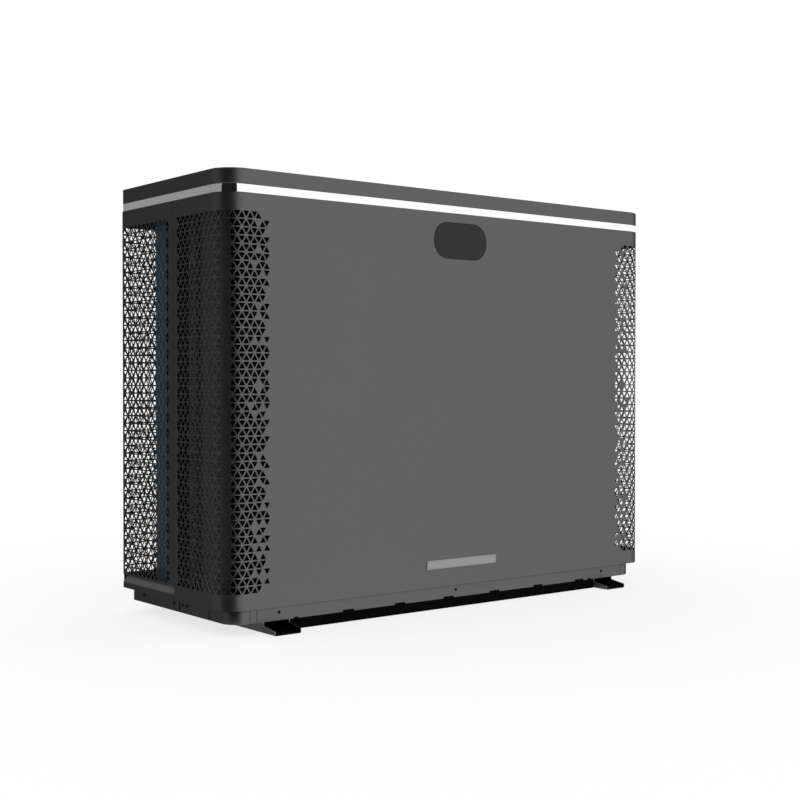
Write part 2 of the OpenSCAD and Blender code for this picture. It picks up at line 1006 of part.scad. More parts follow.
// Where screws hold the rear and cable panels, in X and Z.
rear_screws = [[-606, 68], [-400, 880], [0, 880], [400, 880], [608, 150], [608, 478], [608, 806]];
module rear_screw_places(r) {
    for (at = rear_screws)
        rod_y(at[0], at[1], r, rear_y - 6, rear_y);
}

module lid_screw_places(r) {
    for (x = [-500, 0, 500])
        rod_y(x, 934, r, rear_y - 6, rear_y);
}

// Screws of the skirts, the rear panel and the top cover: a pan head and a short shank each.
module screws() {
    head_r = 3.6;
    head_h = 1.8;
    color("Black") {
        for (x = [-484, 0, 484]) {
            rod_y(x, 40, head_r, skirt_y - head_h, skirt_y);
            rod_y(x, 40, 1.9, skirt_y, skirt_y + 6);
        }
        for (s = [-1, 1], back = [197, 216, 252, 390])
            mirrored(s)
                translate([-skirt_x - head_h, front_y + back, 40])
                    rotate([0, 90, 0]) {
                        cylinder(r = head_r, h = head_h);
                        cylinder(r = 1.9, h = 7);
                    }
        rear_screw_places(1.9);
        lid_screw_places(1.9);
        for (at = rear_screws)
            rod_y(at[0], at[1], head_r, rear_y, rear_y + head_h);
        for (x = [-500, 0, 500])
            rod_y(x, 934, head_r, rear_y, rear_y + head_h);
    }
}

base_pan();
front_skirt();
left_corner_skirt();
right_corner_skirt();
left_side_skirt();
right_side_skirt();
rear_skirt();
left_foot_rail();
right_foot_rail();
crossbars();
front_posts();
mid_posts();
top_frame();
front_panel();
left_rear_panel();
right_rear_panel();
rear_panel();
cable_panel();
top_cover();
front_trim_strip();
left_trim_strip();
right_trim_strip();
rear_trim_strip();
display_lens();
display_housing();
display_board();
nameplate();
coil_fins();
coil_end_plates();
coil_pipework();
coil_guard();
fan_bulkhead();
bulkhead_seals();
fan_shroud();
fan();
fan_shaft();
fan_nut();
fan_motor();
fan_motor_bracket();
partition();
compressor();
compressor_grommets();
compressor_bolts();
accumulator();
refrigerant_pipes();
four_way_valve();
expansion_valve();
heat_exchanger();
connection_box();
union_bodies();
inlet_union_nut();
outlet_union_nut();
union_tails();
control_box();
control_box_lid();
control_electronics();
cable_glands();
drain_spout();
screws();
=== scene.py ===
"""Looks for a pool heat pump: sheet-metal cabinet with perforated corners, trim strip and foot rails.

Lengths inside this file are millimetres in the part's own frame, unless a name ends in _m.
"""

import json
import math
import random

import bmesh
import bpy
from mathutils import Matrix, Vector
from mathutils.geometry import normal as face_normal


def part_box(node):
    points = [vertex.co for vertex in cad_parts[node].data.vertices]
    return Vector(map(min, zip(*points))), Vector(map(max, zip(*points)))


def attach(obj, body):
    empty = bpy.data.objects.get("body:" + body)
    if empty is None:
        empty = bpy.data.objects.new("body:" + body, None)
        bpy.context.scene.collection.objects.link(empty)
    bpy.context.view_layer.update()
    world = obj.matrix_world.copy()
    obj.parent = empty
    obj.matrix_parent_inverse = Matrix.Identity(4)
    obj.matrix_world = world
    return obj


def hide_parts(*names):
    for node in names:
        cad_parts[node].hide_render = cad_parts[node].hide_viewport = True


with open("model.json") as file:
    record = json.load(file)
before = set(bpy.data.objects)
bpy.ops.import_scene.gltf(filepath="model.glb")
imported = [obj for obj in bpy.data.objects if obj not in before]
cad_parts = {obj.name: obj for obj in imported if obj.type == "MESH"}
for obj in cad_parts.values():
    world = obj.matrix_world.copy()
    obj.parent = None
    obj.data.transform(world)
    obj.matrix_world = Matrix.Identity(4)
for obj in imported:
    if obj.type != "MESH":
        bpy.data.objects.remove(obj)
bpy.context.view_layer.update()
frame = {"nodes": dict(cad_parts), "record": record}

MM = 0.001


# ---------------------------------------------------------------- sizes from the frame

def mm_box(node):
    """Lowest and highest corner of a CAD node, in millimetres."""
    low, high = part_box(node)
    return low / MM, high / MM


PANEL = mm_box("front_panel")
COVER = mm_box("top_cover")
REAR = mm_box("rear_panel")
STRIP = mm_box("front_trim_strip")
COIL = mm_box("coil_fins")
LENS = mm_box("display_lens")
RAIL = mm_box("left_foot_rail")
POST = mm_box("front_posts")
SKIRT = mm_box("front_skirt")

HALF_W = PANEL[1].x
FRONT_Y = PANEL[0].y
REAR_Y = COVER[1].y
PANEL_Z = PANEL[0].z
PANEL_TOP = PANEL[1].z
SEAM_Y = PANEL[1].y
CORNER_R = 52.0
SHEET = 1.5
PANEL_SHEET = 1.0  # the perforated sheets look this thin through their holes
STRIP_INSET = 1.5
SKIRT_IN_X = 26.0
SKIRT_IN_Y = 16.0
SIDE_NAMES = {-1: "left", 1: "right"}

# the perforation: a lattice of triangles that alternate up and down
HALF_PITCH = 9.775
ROW_H = HALF_PITCH * math.sqrt(3)
ROWS = 46
FIELD_TOP = 475.9 + ROWS * ROW_H / 2
FIELD_LOW = FIELD_TOP - ROWS * ROW_H
HOLE_SIDE = 14.6
HOLE_CORNER = 0.9

# lengths along the front sheet from its middle: the flat, one corner, and where the holes begin
FLAT_HALF = HALF_W - CORNER_R
ARC = CORNER_R * math.pi / 2
WING_START = FLAT_HALF - 49.6 - HALF_PITCH
WING_COLS = 28

# where the fan, the compressor, the water unions and the cable glands stand
FAN_X, FAN_Z = -150.0, 478.0
COMP = Vector((395.0, -95.0, 0.0))
WATER_X = 480.0
WATER_LEVELS = {"inlet": 120, "outlet": 420}
EXCHANGER_Y = 80.0
STUB_END = 186
GLAND_X = 588.0
GLAND_LEVELS = (560, 600)


# ---------------------------------------------------------------- materials

def colour(value, tint=(1.0, 1.0, 1.0)):
    return tuple(value * t for t in tint) + (1.0,)


class Nodes:
    """A short way to build one node material."""

    def __init__(self, name):
        self.mat = bpy.data.materials.new(name)
        self.mat.use_nodes = True
        self.tree = self.mat.node_tree
        self.shader = self.tree.nodes["Principled BSDF"]
        self.place = self.add("ShaderNodeTexCoord").outputs["Object"]

    def put(self, socket, value):
        """Gives a socket a fixed value, or links another node's output to it."""
        if isinstance(value, bpy.types.NodeSocket):
            self.tree.links.new(value, socket)
        else:
            socket.default_value = value

    def add(self, kind, **values):
        """A new node, given its inputs and its own settings by name."""
        node = self.tree.nodes.new(kind)
        for key, value in values.items():
            if key in node.inputs:
                self.put(node.inputs[key], value)
            else:
                setattr(node, key, value)
        return node

    def set(self, name, value):
        self.put(self.shader.inputs[name], value)

    def axes(self, vector):
        """The X, Y and Z of a vector."""
        return self.add("ShaderNodeSeparateXYZ", Vector=vector).outputs

    def calculate(self, operation, *values):
        node = self.add("ShaderNodeMath", operation=operation)
        for socket, value in zip(node.inputs, values):
            self.put(socket, value)
        return node.outputs["Value"]

    def noise(self, scale, detail=3.0, rough=0.5, stretch=(1, 1, 1)):
        """Noise over the object, scale in features per metre."""
        mapping = self.add("ShaderNodeMapping", Vector=self.place, Scale=stretch)
        tex = self.add("ShaderNodeTexNoise", Vector=mapping.outputs["Vector"], Scale=scale, Detail=detail,
                       Roughness=rough)
        return tex.outputs["Fac"]

    def cells(self, scale):
        return self.add("ShaderNodeTexVoronoi", Vector=self.place, Scale=scale).outputs["Color"]

    def ramp(self, source, low, high, start=0.0, end=1.0):
        """Maps the source's span from start to end onto a span between two values."""
        node = self.add("ShaderNodeMapRange", **{"Value": source, "From Min": start, "From Max": end,
                                                 "To Min": low, "To Max": high})
        return node.outputs["Result"]

    def mix(self, factor, a, b):
        node = self.add("ShaderNodeMix", data_type="RGBA", Factor=factor)
        # the node has an A and a B of each data type
        colours = {socket.name: socket for socket in node.inputs if socket.type == "RGBA"}
        self.put(colours["A"], a)
        self.put(colours["B"], b)
        return next(socket for socket in node.outputs if socket.type == "RGBA")

    def cover(self, share, tint):
        """Lays another colour over the base colour; share says how much of it shows."""
        under = self.shader.inputs["Base Color"].links[0].from_socket
        self.set("Base Color", self.mix(share, under, tint))

    def bump(self, height, strength, distance_m):
        """Adds relief on top of any relief that is there already."""
        node = self.add("ShaderNodeBump", Strength=strength, Distance=distance_m, Height=height)
        for link in self.shader.inputs["Normal"].links:
            self.put(node.inputs["Normal"], link.from_socket)
        self.set("Normal", node.outputs["Normal"])


def surface(name, base, metallic, rough, tint=(1, 1, 1), vary=0.06, grain=900.0, grain_m=0.00002,
            grain_strength=0.3, patch=5.0, rough_vary=0.05, coat=0.0, stretch=(1, 1, 1)):
    """A material whose colour, roughness and surface all vary a little, at two scales."""
    m = Nodes(name)
    broad = m.noise(patch, 4.0, 0.6)
    fine = m.noise(grain, 2.0, 0.5, stretch)
    m.set("Base Color", m.mix(m.ramp(broad, 0, 1, 0.3, 0.7), colour(base * (1 - vary), tint),
                              colour(base * (1 + vary), tint)))
    m.set("Metallic", metallic)
    m.set("Roughness", m.ramp(broad, rough - rough_vary, rough + rough_vary, 0.3, 0.7))
    m.bump(fine, grain_strength, grain_m)
    if coat:
        m.set("Coat Weight", coat)
        m.set("Coat Roughness", 0.12)
    return m


def edge_wear(m, tint, amount):
    """Brightens the sharp edges, as handling does."""
    edge = m.add("ShaderNodeNewGeometry").outputs["Pointiness"]
    m.cover(m.ramp(edge, 0, amount, 0.53, 0.62), tint)


def channel_shade(m):
    """Painted shade: the inside of the foot channels, between their webs, is painted black."""
    middle, inner = (RAIL[1].x + RAIL[0].x) / -2, (RAIL[1].x - RAIL[0].x) / 2 - 1.9
    side = m.calculate("ABSOLUTE", m.axes(m.place)["X"])
    away = m.calculate("ABSOLUTE", m.calculate("SUBTRACT", side, middle * MM))
    m.cover(m.ramp(away, 1.0, 0.0, inner * MM, (inner + 0.4) * MM), colour(0.006))


def post_face_grey(m):
    """The front posts are painted a lighter grey on their outer faces, behind the perforated corners."""
    at = m.axes(m.place)
    low, high = POST
    out = m.ramp(m.calculate("ABSOLUTE", at["X"]), 0.0, 1.0, (high.x - 60.0) * MM, (high.x - 20.0) * MM)
    front = m.ramp(at["Y"], 1.0, 0.0, (high.y - 1.0) * MM, (high.y + 4.0) * MM)
    above = m.ramp(at["Z"], 0.0, 1.0, (low.z + 1.0) * MM, (low.z + 3.0) * MM)
    m.cover(m.calculate("MULTIPLY", m.calculate("MULTIPLY", out, front), above), (0.043, 0.043, 0.044, 1.0))


def joint_painted_shade(m):
    """Painted shade in the joint between the skirts and the panels above them."""
    z = m.axes(m.place)["Z"]
    above = m.ramp(z, 0.0, 1.0, (PANEL_Z - 6.0) * MM, (PANEL_Z - 4.6) * MM)
    below = m.ramp(z, 1.0, 0.0, (PANEL_Z - 0.4) * MM, (PANEL_Z - 0.2) * MM)
    m.cover(m.calculate("MULTIPLY", above, below), colour(0.10))


def ledge_painted_light(m, level_z, tint):
    """Painted light: slopes facing up, near the ground only, are lightened as if lit from above."""
    normal = m.add("ShaderNodeNewGeometry").outputs["Normal"]
    up = m.ramp(m.axes(normal)["Z"], 0.0, 1.0, 0.2, 0.42)
    low = m.ramp(m.axes(m.place)["Z"], 1.0, 0.0, level_z * MM, level_z * MM * 1.2)
    m.cover(m.calculate("MULTIPLY", up, low), tint)


def dust(m, level_z, amount):
    """A thin film of dust that fades upwards from the ground."""
    film = m.ramp(m.axes(m.place)["Z"], amount, 0.0, 0.0, level_z * MM)
    speck = m.ramp(m.noise(60.0, 5.0, 0.7), 0.4, 1.0, 0.35, 0.65)
    m.cover(m.calculate("MULTIPLY", film, speck), (0.22, 0.21, 0.19, 1.0))


# what surface() is told about each material
LOOKS = {
    "cabinet_paint": dict(base=0.133, metallic=1.0, rough=0.42, vary=0.02, grain=1400.0, grain_m=0.000012,
                          grain_strength=0.35, rough_vary=0.02),
    "foot_paint": dict(base=0.095, metallic=0.9, rough=0.46, vary=0.05, grain=1200.0, grain_strength=0.4),
    # black paint, its colour set darker than paint as painted shade, so the crossbar under the skirt looks in
    # shadow
    "black_steel": dict(base=0.0015, metallic=0.0, rough=0.7, vary=0.2, grain=1200.0, grain_strength=0.4),
    "galvanised_steel": dict(base=0.40, metallic=1.0, rough=0.42, tint=(0.97, 0.99, 1.0), vary=0.05,
                             rough_vary=0.06),
    "bright_trim": dict(base=0.985, metallic=1.0, rough=0.035, vary=0.01, grain=500.0, grain_m=0.000002,
                        grain_strength=0.1, rough_vary=0.012, stretch=(0.05, 0.05, 4.0)),
    "display_glass": dict(base=0.005, metallic=0.0, rough=0.07, tint=(0.9, 0.95, 1.0), vary=0.1, grain=700.0,
                          grain_m=0.000001, grain_strength=0.1, rough_vary=0.02),
    "black_plastic": dict(base=0.018, metallic=0.0, rough=0.42, vary=0.1, grain=1600.0, grain_m=0.00005,
                          grain_strength=0.5),
    "circuit_board": dict(base=0.07, metallic=0.0, rough=0.35, tint=(0.25, 1.0, 0.45), vary=0.1, coat=0.3),
    "plate_metal": dict(base=0.30, metallic=1.0, rough=0.30, vary=0.03, grain=1200.0, grain_m=0.00001,
                        grain_strength=0.5, stretch=(0.02, 1, 1)),
    "blue_fins": dict(base=0.17, metallic=0.2, rough=0.38, tint=(0.25, 0.64, 1.0), vary=0.12, patch=14.0,
                      grain=800.0),
    "copper": dict(base=0.62, metallic=1.0, rough=0.28, tint=(1.0, 0.52, 0.33), vary=0.12, patch=40.0,
                   rough_vary=0.1),
    "seal_rubber": dict(base=0.02, metallic=0.0, rough=0.75, vary=0.15, grain=1800.0, grain_m=0.0001,
                        grain_strength=0.7),
    "fan_plastic": dict(base=0.09, metallic=0.0, rough=0.5, vary=0.06, grain=1500.0, grain_m=0.00004,
                        grain_strength=0.5),
    "shaft_steel": dict(base=0.6, metallic=1.0, rough=0.25, vary=0.05, stretch=(1, 0.02, 1)),
    "motor_paint": dict(base=0.022, metallic=0.0, rough=0.36, vary=0.1, grain=500.0, grain_m=0.00005,
                        grain_strength=0.4, coat=0.3),
    "valve_brass": dict(base=0.62, metallic=1.0, rough=0.3, tint=(1.0, 0.78, 0.42), vary=0.08, patch=30.0),
    "exchanger_plastic": dict(base=0.045, metallic=0.0, rough=0.33, vary=0.05, grain=700.0, grain_m=0.00003,
                              grain_strength=0.35),
    "screw_steel": dict(base=0.004, metallic=0.1, rough=0.55, vary=0.1),
}


def make_materials():
    made = {name: surface(name, **look) for name, look in LOOKS.items()}

    paint = made["cabinet_paint"]
    paint.bump(paint.noise(260.0, 2.0, 0.5), 0.12, 0.00003)
    dust(paint, 150.0, 0.035)
    # painted light: the up-facing slopes of the grip groove near the ground are lightened
    ledge_painted_light(paint, 100.0, (0.33, 0.33, 0.335, 1.0))
    # painted shade: a dark band on the skirts just under the panels' lower edge
    joint_painted_shade(paint)
    paint.set("Specular Tint", colour(0.2))

    foot = made["foot_paint"]
    edge_wear(foot, (0.30, 0.30, 0.31, 1.0), 0.6)
    dust(foot, 30.0, 0.08)
    # painted shade: the inside of the channels is painted black
    channel_shade(foot)

    black = made["black_steel"]
    black.set("Specular IOR Level", 0.02)
    # the posts' outer front faces are painted a lighter grey
    post_face_grey(black)

    zinc = made["galvanised_steel"]
    zinc.set("Roughness", zinc.ramp(zinc.cells(90.0), 0.34, 0.50))

    glass = made["display_glass"]
    glass.set("IOR", 1.5)
    glass.set("Specular IOR Level", 0.34)

    board = made["circuit_board"]
    tracks = board.add("ShaderNodeTexBrick", **{
        "Vector": board.place, "Scale": 220.0, "Color1": (0.015, 0.10, 0.04, 1),
        "Color2": (0.02, 0.14, 0.05, 1), "Mortar": (0.10, 0.30, 0.12, 1), "Mortar Size": 0.03})
    board.set("Base Color", tracks.outputs["Color"])

    made["screw_steel"].set("Specular IOR Level", 0.2)
    return {name: m.mat for name, m in made.items()}


MATERIALS = make_materials()
SLOT_OF = {s["node"]: s["material_slot"] for s in frame["record"]["subparts"]}


# ---------------------------------------------------------------- mesh helpers

def new_object(name, mesh):
    obj = bpy.data.objects.new(name, mesh)
    bpy.context.scene.collection.objects.link(obj)
    return obj


def drawn_mesh(name, bm):
    """Mesh data in metres from a drawing in millimetres, which it uses up."""
    mesh = bpy.data.meshes.new(name)
    bmesh.ops.scale(bm, vec=(MM, MM, MM), verts=bm.verts)
    bmesh.ops.recalc_face_normals(bm, faces=bm.faces)
    bm.to_mesh(mesh)
    bm.free()
    return mesh


def piece(name, bm, slot, body="cabinet", stands_for=(), smooth=35.0):
    """Turns a mesh drawn in millimetres into a finished piece on its body."""
    mesh = drawn_mesh(name, bm)
    obj = new_object(name, mesh)
    mesh.materials.append(MATERIALS[slot])
    if smooth:
        mesh.polygons.foreach_set("use_smooth", [True] * len(mesh.polygons))
        mesh.set_sharp_from_angle(angle=math.radians(smooth))
    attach(obj, body)
    if stands_for:
        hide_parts(*stands_for)
    return obj


def ring_loft(bm, rings, hoop=False):
    """Skins equally long rings of points, with both ends closed or, in a hoop, joined to each other."""
    loops = [[bm.verts.new(p) for p in ring] for ring in rings]
    for a, b in zip(loops, loops[1:] + (loops[:1] if hoop else [])):
        for i in range(len(a)):
            j = (i + 1) % len(a)
            bm.faces.new((a[i], a[j], b[j], b[i]))
    if not hoop:
        bm.faces.new(loops[0][::-1])
        bm.faces.new(loops[-1])


def lathe(bm, profile, axis="Z", centre=(0, 0, 0), steps=48):
    """Spins (radius, height) points round an axis through centre. A closed profile makes a hoop."""
    rings = []
    for r, h in profile:
        ring = []
        for k in range(steps):
            a = 2 * math.pi * k / steps
            x, y = max(r, 0.01) * math.cos(a), max(r, 0.01) * math.sin(a)
            p = {"Z": (x, y, h), "Y": (y, h, x), "X": (h, x, y)}[axis]
            ring.append(Vector(p) + Vector(centre))
        rings.append(ring)
    hoop = profile[0] == profile[-1]
    ring_loft(bm, rings[:-1] if hoop else rings, hoop)


def ring_across_y(x, y, z, steps, reach):
    """A ring round the line along Y through (x, z); reach(angle) is its distance from that line."""
    angles = [2 * math.pi * k / steps for k in range(steps)]
    return [(x + reach(a) * math.cos(a), y, z + reach(a) * math.sin(a)) for a in angles]


def box_mesh(bm, low, high):
    made = bmesh.ops.create_cube(bm, size=1.0)["verts"]
    low, high = Vector(low), Vector(high)
    bmesh.ops.scale(bm, vec=high - low, verts=made)
    bmesh.ops.translate(bm, vec=(low + high) / 2, verts=made)
    return made


def soft_box(bm, low, high, r, segments=2):
    """A box with rounded edges."""
    made = set(box_mesh(bm, low, high))
    edges = [e for e in bm.edges if e.verts[0] in made and e.verts[1] in made]
    bmesh.ops.bevel(bm, geom=edges, offset=r, segments=segments, profile=0.5, affect="EDGES")


def arc_points(cx, cy, r, start, end, steps):
    """Points of an arc, angles in degrees."""
    angles = [math.radians(start + (end - start) * k / steps) for k in range(steps + 1)]
    return [(cx + r * math.cos(a), cy + r * math.sin(a)) for a in angles]


def pill(cx, cz, w, h, r, steps=12):
    """A rectangle with round corners, as (x, z) points."""
    points = []
    for sx, sz, start in ((1, 1, 0), (-1, 1, 90), (-1, -1, 180), (1, -1, 270)):
        points += arc_points(cx + sx * (w / 2 - r), cz + sz * (h / 2 - r), r, start, start + 90, steps)
    return points


def pill_loft(bm, box, stations, corner, steps):
    """Skins pills that fill a box but for an inset: (inset, y) stations, corner(inset) is the radius."""
    (x0, _, z0), (x1, _, z1) = box
    rings = []
    for inset, y in stations:
        w, h = x1 - x0 - 2 * inset, z1 - z0 - 2 * inset
        ring = pill((x0 + x1) / 2, (z0 + z1) / 2, w, h, corner(inset), steps)
        rings.append([(x, y, z) for x, z in ring])
    ring_loft(bm, rings)


def bore(obj, holes):
    """Cuts round holes: (centre, axis, radius, half depth)."""
    bm = bmesh.new()
    for centre, axis, r, deep in holes:
        lathe(bm, [(0.01, -deep), (r, -deep), (r, deep), (0.01, deep)], axis, centre, 40)
    tool = new_object(obj.name + "_holes", drawn_mesh(obj.name + "_holes", bm))
    cut = obj.modifiers.new("holes", "BOOLEAN")
    cut.object = tool
    cut.operation = "DIFFERENCE"
    cut.solver = "EXACT"
    bpy.context.view_layer.update()
    done = bpy.data.meshes.new_from_object(obj.evaluated_get(bpy.context.evaluated_depsgraph_get()))
    obj.modifiers.clear()
    obj.data = done
    bpy.data.objects.remove(tool, do_unlink=True)


# ---------------------------------------------------------------- perforated sheets

class Flat:
    """The flat pattern of a sheet: a runs along it, z goes up, and neighbours share their points."""

    def __init__(self):
        self.bm = bmesh.new()
        self.found = {}

    def point(self, a, z):
        key = (round(a, 3), round(z, 3))
        if key not in self.found:
            self.found[key] = self.bm.verts.new((a, z, 0))
        return self.found[key]

    def face(self, points):
        verts = []
        for p in points:
            v = self.point(*p)
            if v not in verts:
                verts.append(v)
        self.bm.faces.new(verts)

    def side(self, fixed, low, high, along):
        """Known points between the ends of one side of a rectangle, which runs along a (0) or z (1)."""
        near = 0.002
        return sorted(k for k in self.found
                      if abs(k[1 - along] - fixed) < near and low + near < k[along] < high - near)

    def fill(self, a0, a1, z0, z1, hole=None):
        """A plain rectangle that meets its neighbours' points, with one hole if it is given."""
        if not hole:
            self.face([(a0, z0)] + self.side(z0, a0, a1, 0) + [(a1, z0)] + self.side(a1, z0, z1, 1)
                      + [(a1, z1)] + self.side(z1, a0, a1, 0)[::-1]
                      + [(a0, z1)] + self.side(a0, z0, z1, 1)[::-1])
            return
        cut = (min(p[0] for p in hole) + max(p[0] for p in hole)) / 2
        low, high = min(p[1] for p in hole), max(p[1] for p in hole)
        for s, edge in ((1, a1), (-1, a0)):
            half = sorted((p for p in hole if s * (p[0] - cut) > 0.01),
                          key=lambda p: -math.atan2(p[1] - (low + high) / 2, s * (p[0] - cut)))
            near, far = min(cut, edge), max(cut, edge)
            bottom = self.side(z0, near, far, 0)[::s]
            top = self.side(z1, near, far, 0)[::-s]
            ring = ([(cut, z0)] + bottom + [(edge, z0)] + self.side(edge, z0, z1, 1) + [(edge, z1)]
                    + top + [(cut, z1), (cut, high)] + half + [(cut, low)])
            self.face(ring[::s])

    def field(self, start, cols, skip=None, mirror=1):
        """Rows of triangular holes from start on; mirror = -1 draws them on the other side of a = 0."""
        def face(points):
            self.face([(mirror * a, z) for a, z in points][::mirror])

        for row in range(ROWS):
            high = FIELD_TOP - row * ROW_H
            low = high - ROW_H
            for col in range(cols):
                mid = start + HALF_PITCH * (col + 1)
                base, tip = (low, high) if (row + col) % 2 == 0 else (high, low)
                corners = [(mid - HALF_PITCH, base), (mid + HALF_PITCH, base), (mid, tip)]
                if base > tip:
                    corners.reverse()
                if col == 0:
                    face([(start, base), (mid, tip), (start, tip)][::1 if base < tip else -1])
                if col == cols - 1:
                    end = start + HALF_PITCH * (cols + 1)
                    face([(end, base), (end, tip), (mid, tip)][::1 if base < tip else -1])
                if skip and skip(col, row):
                    face(corners)
                    continue
                centre = (mid, base + (tip - base) / 3)
                inner = [[c + (p - c) * HOLE_SIDE / (2 * HALF_PITCH) for p, c in zip(corner, centre)]
                         for corner in corners]
                cut = HOLE_CORNER / HOLE_SIDE
                for i in range(3):
                    here, after, before = inner[i], inner[(i + 1) % 3], inner[i - 1]
                    lead = tuple(h + (n - h) * cut for h, n in zip(here, after))
                    trail = tuple(h + (n - h) * cut for h, n in zip(here, before))
                    reach = tuple(n + (h - n) * cut for h, n in zip(here, after))
                    face([corners[i], lead, trail])
                    face([corners[i], corners[(i + 1) % 3], reach, lead])


def sheet_piece(name, flat, place, cuts=(), flip=False, creased_below=None, stands_for=()):
    """Bends a flat pattern with place(a, z) -> point, normal, and gives it the sheet's thickness.

    cuts are lines across the pattern where it may bend, as (place, "a" or "z").
    """
    bm = flat.bm
    for at, direction in cuts:
        spot = Vector((at, 0, 0)) if direction == "a" else Vector((0, at, 0))
        bmesh.ops.bisect_plane(bm, geom=bm.verts[:] + bm.edges[:] + bm.faces[:], dist=0.0001,
                               plane_co=spot, plane_no=spot.normalized())
    bm.verts.index_update()
    points, normals = [], []
    for v in bm.verts:
        point, normal = place(v.co.x, v.co.y)
        points += [point * MM, (point - normal * PANEL_SHEET) * MM]
        normals.append(normal)
    faces, shading = [], []

    def add(ring, ring_normals=None):
        if ring_normals is None:
            ring_normals = [face_normal([points[i] for i in ring])] * len(ring)
        faces.append(ring)
        shading.extend(ring_normals)

    for f in bm.faces:
        ring = [v.index for v in f.verts]
        if flip:
            ring.reverse()
        creased = creased_below is not None and all(v.co.y < creased_below for v in f.verts)
        add([2 * i for i in ring], None if creased else [normals[i] for i in ring])
        ring.reverse()
        add([2 * i + 1 for i in ring], None if creased else [-normals[i] for i in ring])
    for e in bm.edges:
        if len(e.link_faces) == 1:
            loop = e.link_loops[0]
            a, b = loop.vert.index, loop.link_loop_next.vert.index
            if flip:
                a, b = b, a
            add([2 * b, 2 * a, 2 * a + 1, 2 * b + 1])
    bm.free()
    mesh = bpy.data.meshes.new(name)
    mesh.from_pydata(points, [], faces)
    mesh.polygons.foreach_set("use_smooth", [True] * len(faces))
    mesh.normals_split_custom_set([tuple(n) for n in shading])
    mesh.materials.append(MATERIALS["cabinet_paint"])
    obj = new_object(name, mesh)
    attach(obj, "cabinet")
    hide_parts(*stands_for)


def scatter(col, row):
    """A repeatable scatter between 0 and 1."""
    return (math.sin(math.radians(240.3 * row + 189.1 * col)) * 24.4) % 1


def ragged(col, row):
    """Holes left out along the front edge of a perforated corner, fewer inwards and never side by side."""
    if row in (0, ROWS - 1):
        return col < 2
    share = (0.37, 0.33, 0.33, 0.18, 0.05)

    def chosen(at):
        return 0 <= at < len(share) and scatter(at, row) < share[at]

    return chosen(col) and not chosen(col - 1)


def front_place(a, z):
    """The front sheet's line in plan: flat, round a corner, flat back to the seam."""
    s = 1 if a >= 0 else -1
    turn = min(max((abs(a) - FLAT_HALF) / CORNER_R, 0), math.pi / 2)
    x = min(abs(a), FLAT_HALF) + CORNER_R * math.sin(turn)
    y = FRONT_Y + CORNER_R * (1 - math.cos(turn)) + max(abs(a) - FLAT_HALF - ARC, 0)
    return Vector((s * x, y, z)), Vector((s * math.sin(turn), -math.cos(turn), 0))


def build_front_panel():
    flat = Flat()
    seam = FLAT_HALF + ARC + SEAM_Y - FRONT_Y - CORNER_R
    end = WING_START + HALF_PITCH * (WING_COLS + 1)
    for s in (1, -1):
        flat.field(WING_START, WING_COLS, ragged, s)
        near, far = sorted((s * WING_START, s * end))
        flat.fill(near, far, FIELD_TOP, PANEL_TOP)
        flat.fill(near, far, PANEL_Z, FIELD_LOW)
        flat.fill(*sorted((s * end, s * seam)), PANEL_Z, PANEL_TOP)
    middle, gap, corner = (LENS[0] + LENS[1]) / 2, 1.0, 39
    window = pill(0, middle.z, LENS[1].x * 2 + 2 * gap, LENS[1].z - LENS[0].z + 2 * gap, corner)
    flat.fill(-WING_START, WING_START, PANEL_Z, PANEL_TOP, window)
    steps = 28
    cuts = [(s * (FLAT_HALF + ARC * k / steps), "a") for s in (1, -1) for k in range(steps + 1)]
    sheet_piece("front_sheet", flat, front_place, cuts, stands_for=("front_panel",))


def build_side_panel(s):
    start, cols = -5.4, 21
    end = start + HALF_PITCH * (cols + 1)
    flat = Flat()
    flat.field(start, cols)
    flat.fill(start, end, FIELD_TOP, PANEL_TOP)
    flat.fill(start, end, PANEL_Z, FIELD_LOW)
    flat.fill(SEAM_Y + 1, start, PANEL_Z, PANEL_TOP)
    flat.fill(end, REAR_Y, PANEL_Z, PANEL_TOP)
    # the grip: a pressed groove along the lower edge, as (height, depth)
    grip = [(54, 0), (66.2, 0), (67.4, 0.35), (68.4, 0.9), (81, 6.9), (82, 7.2), (82.9, 6.9),
            (83.6, 1.0), (84.1, 0.3), (84.8, 0), (1000, 0)]

    def place(a, z):
        for (z0, d0), (z1, d1) in zip(grip, grip[1:]):
            if z0 <= z <= z1:
                deep = d0 + (d1 - d0) * (z - z0) / (z1 - z0)
                break
        return Vector((s * (HALF_W - deep), a, z)), Vector((s, 0, 0))

    sheet_piece("side_sheet_" + SIDE_NAMES[s], flat, place, [(z, "z") for z, _ in grip[1:-1]], flip=s < 0,
                creased_below=85, stands_for=(SIDE_NAMES[s] + "_rear_panel",))


def rear_place(a, z):
    """Seen from behind, a runs towards the cabinet's left side."""
    return Vector((-a, REAR_Y, z)), Vector((0, 1, 0))


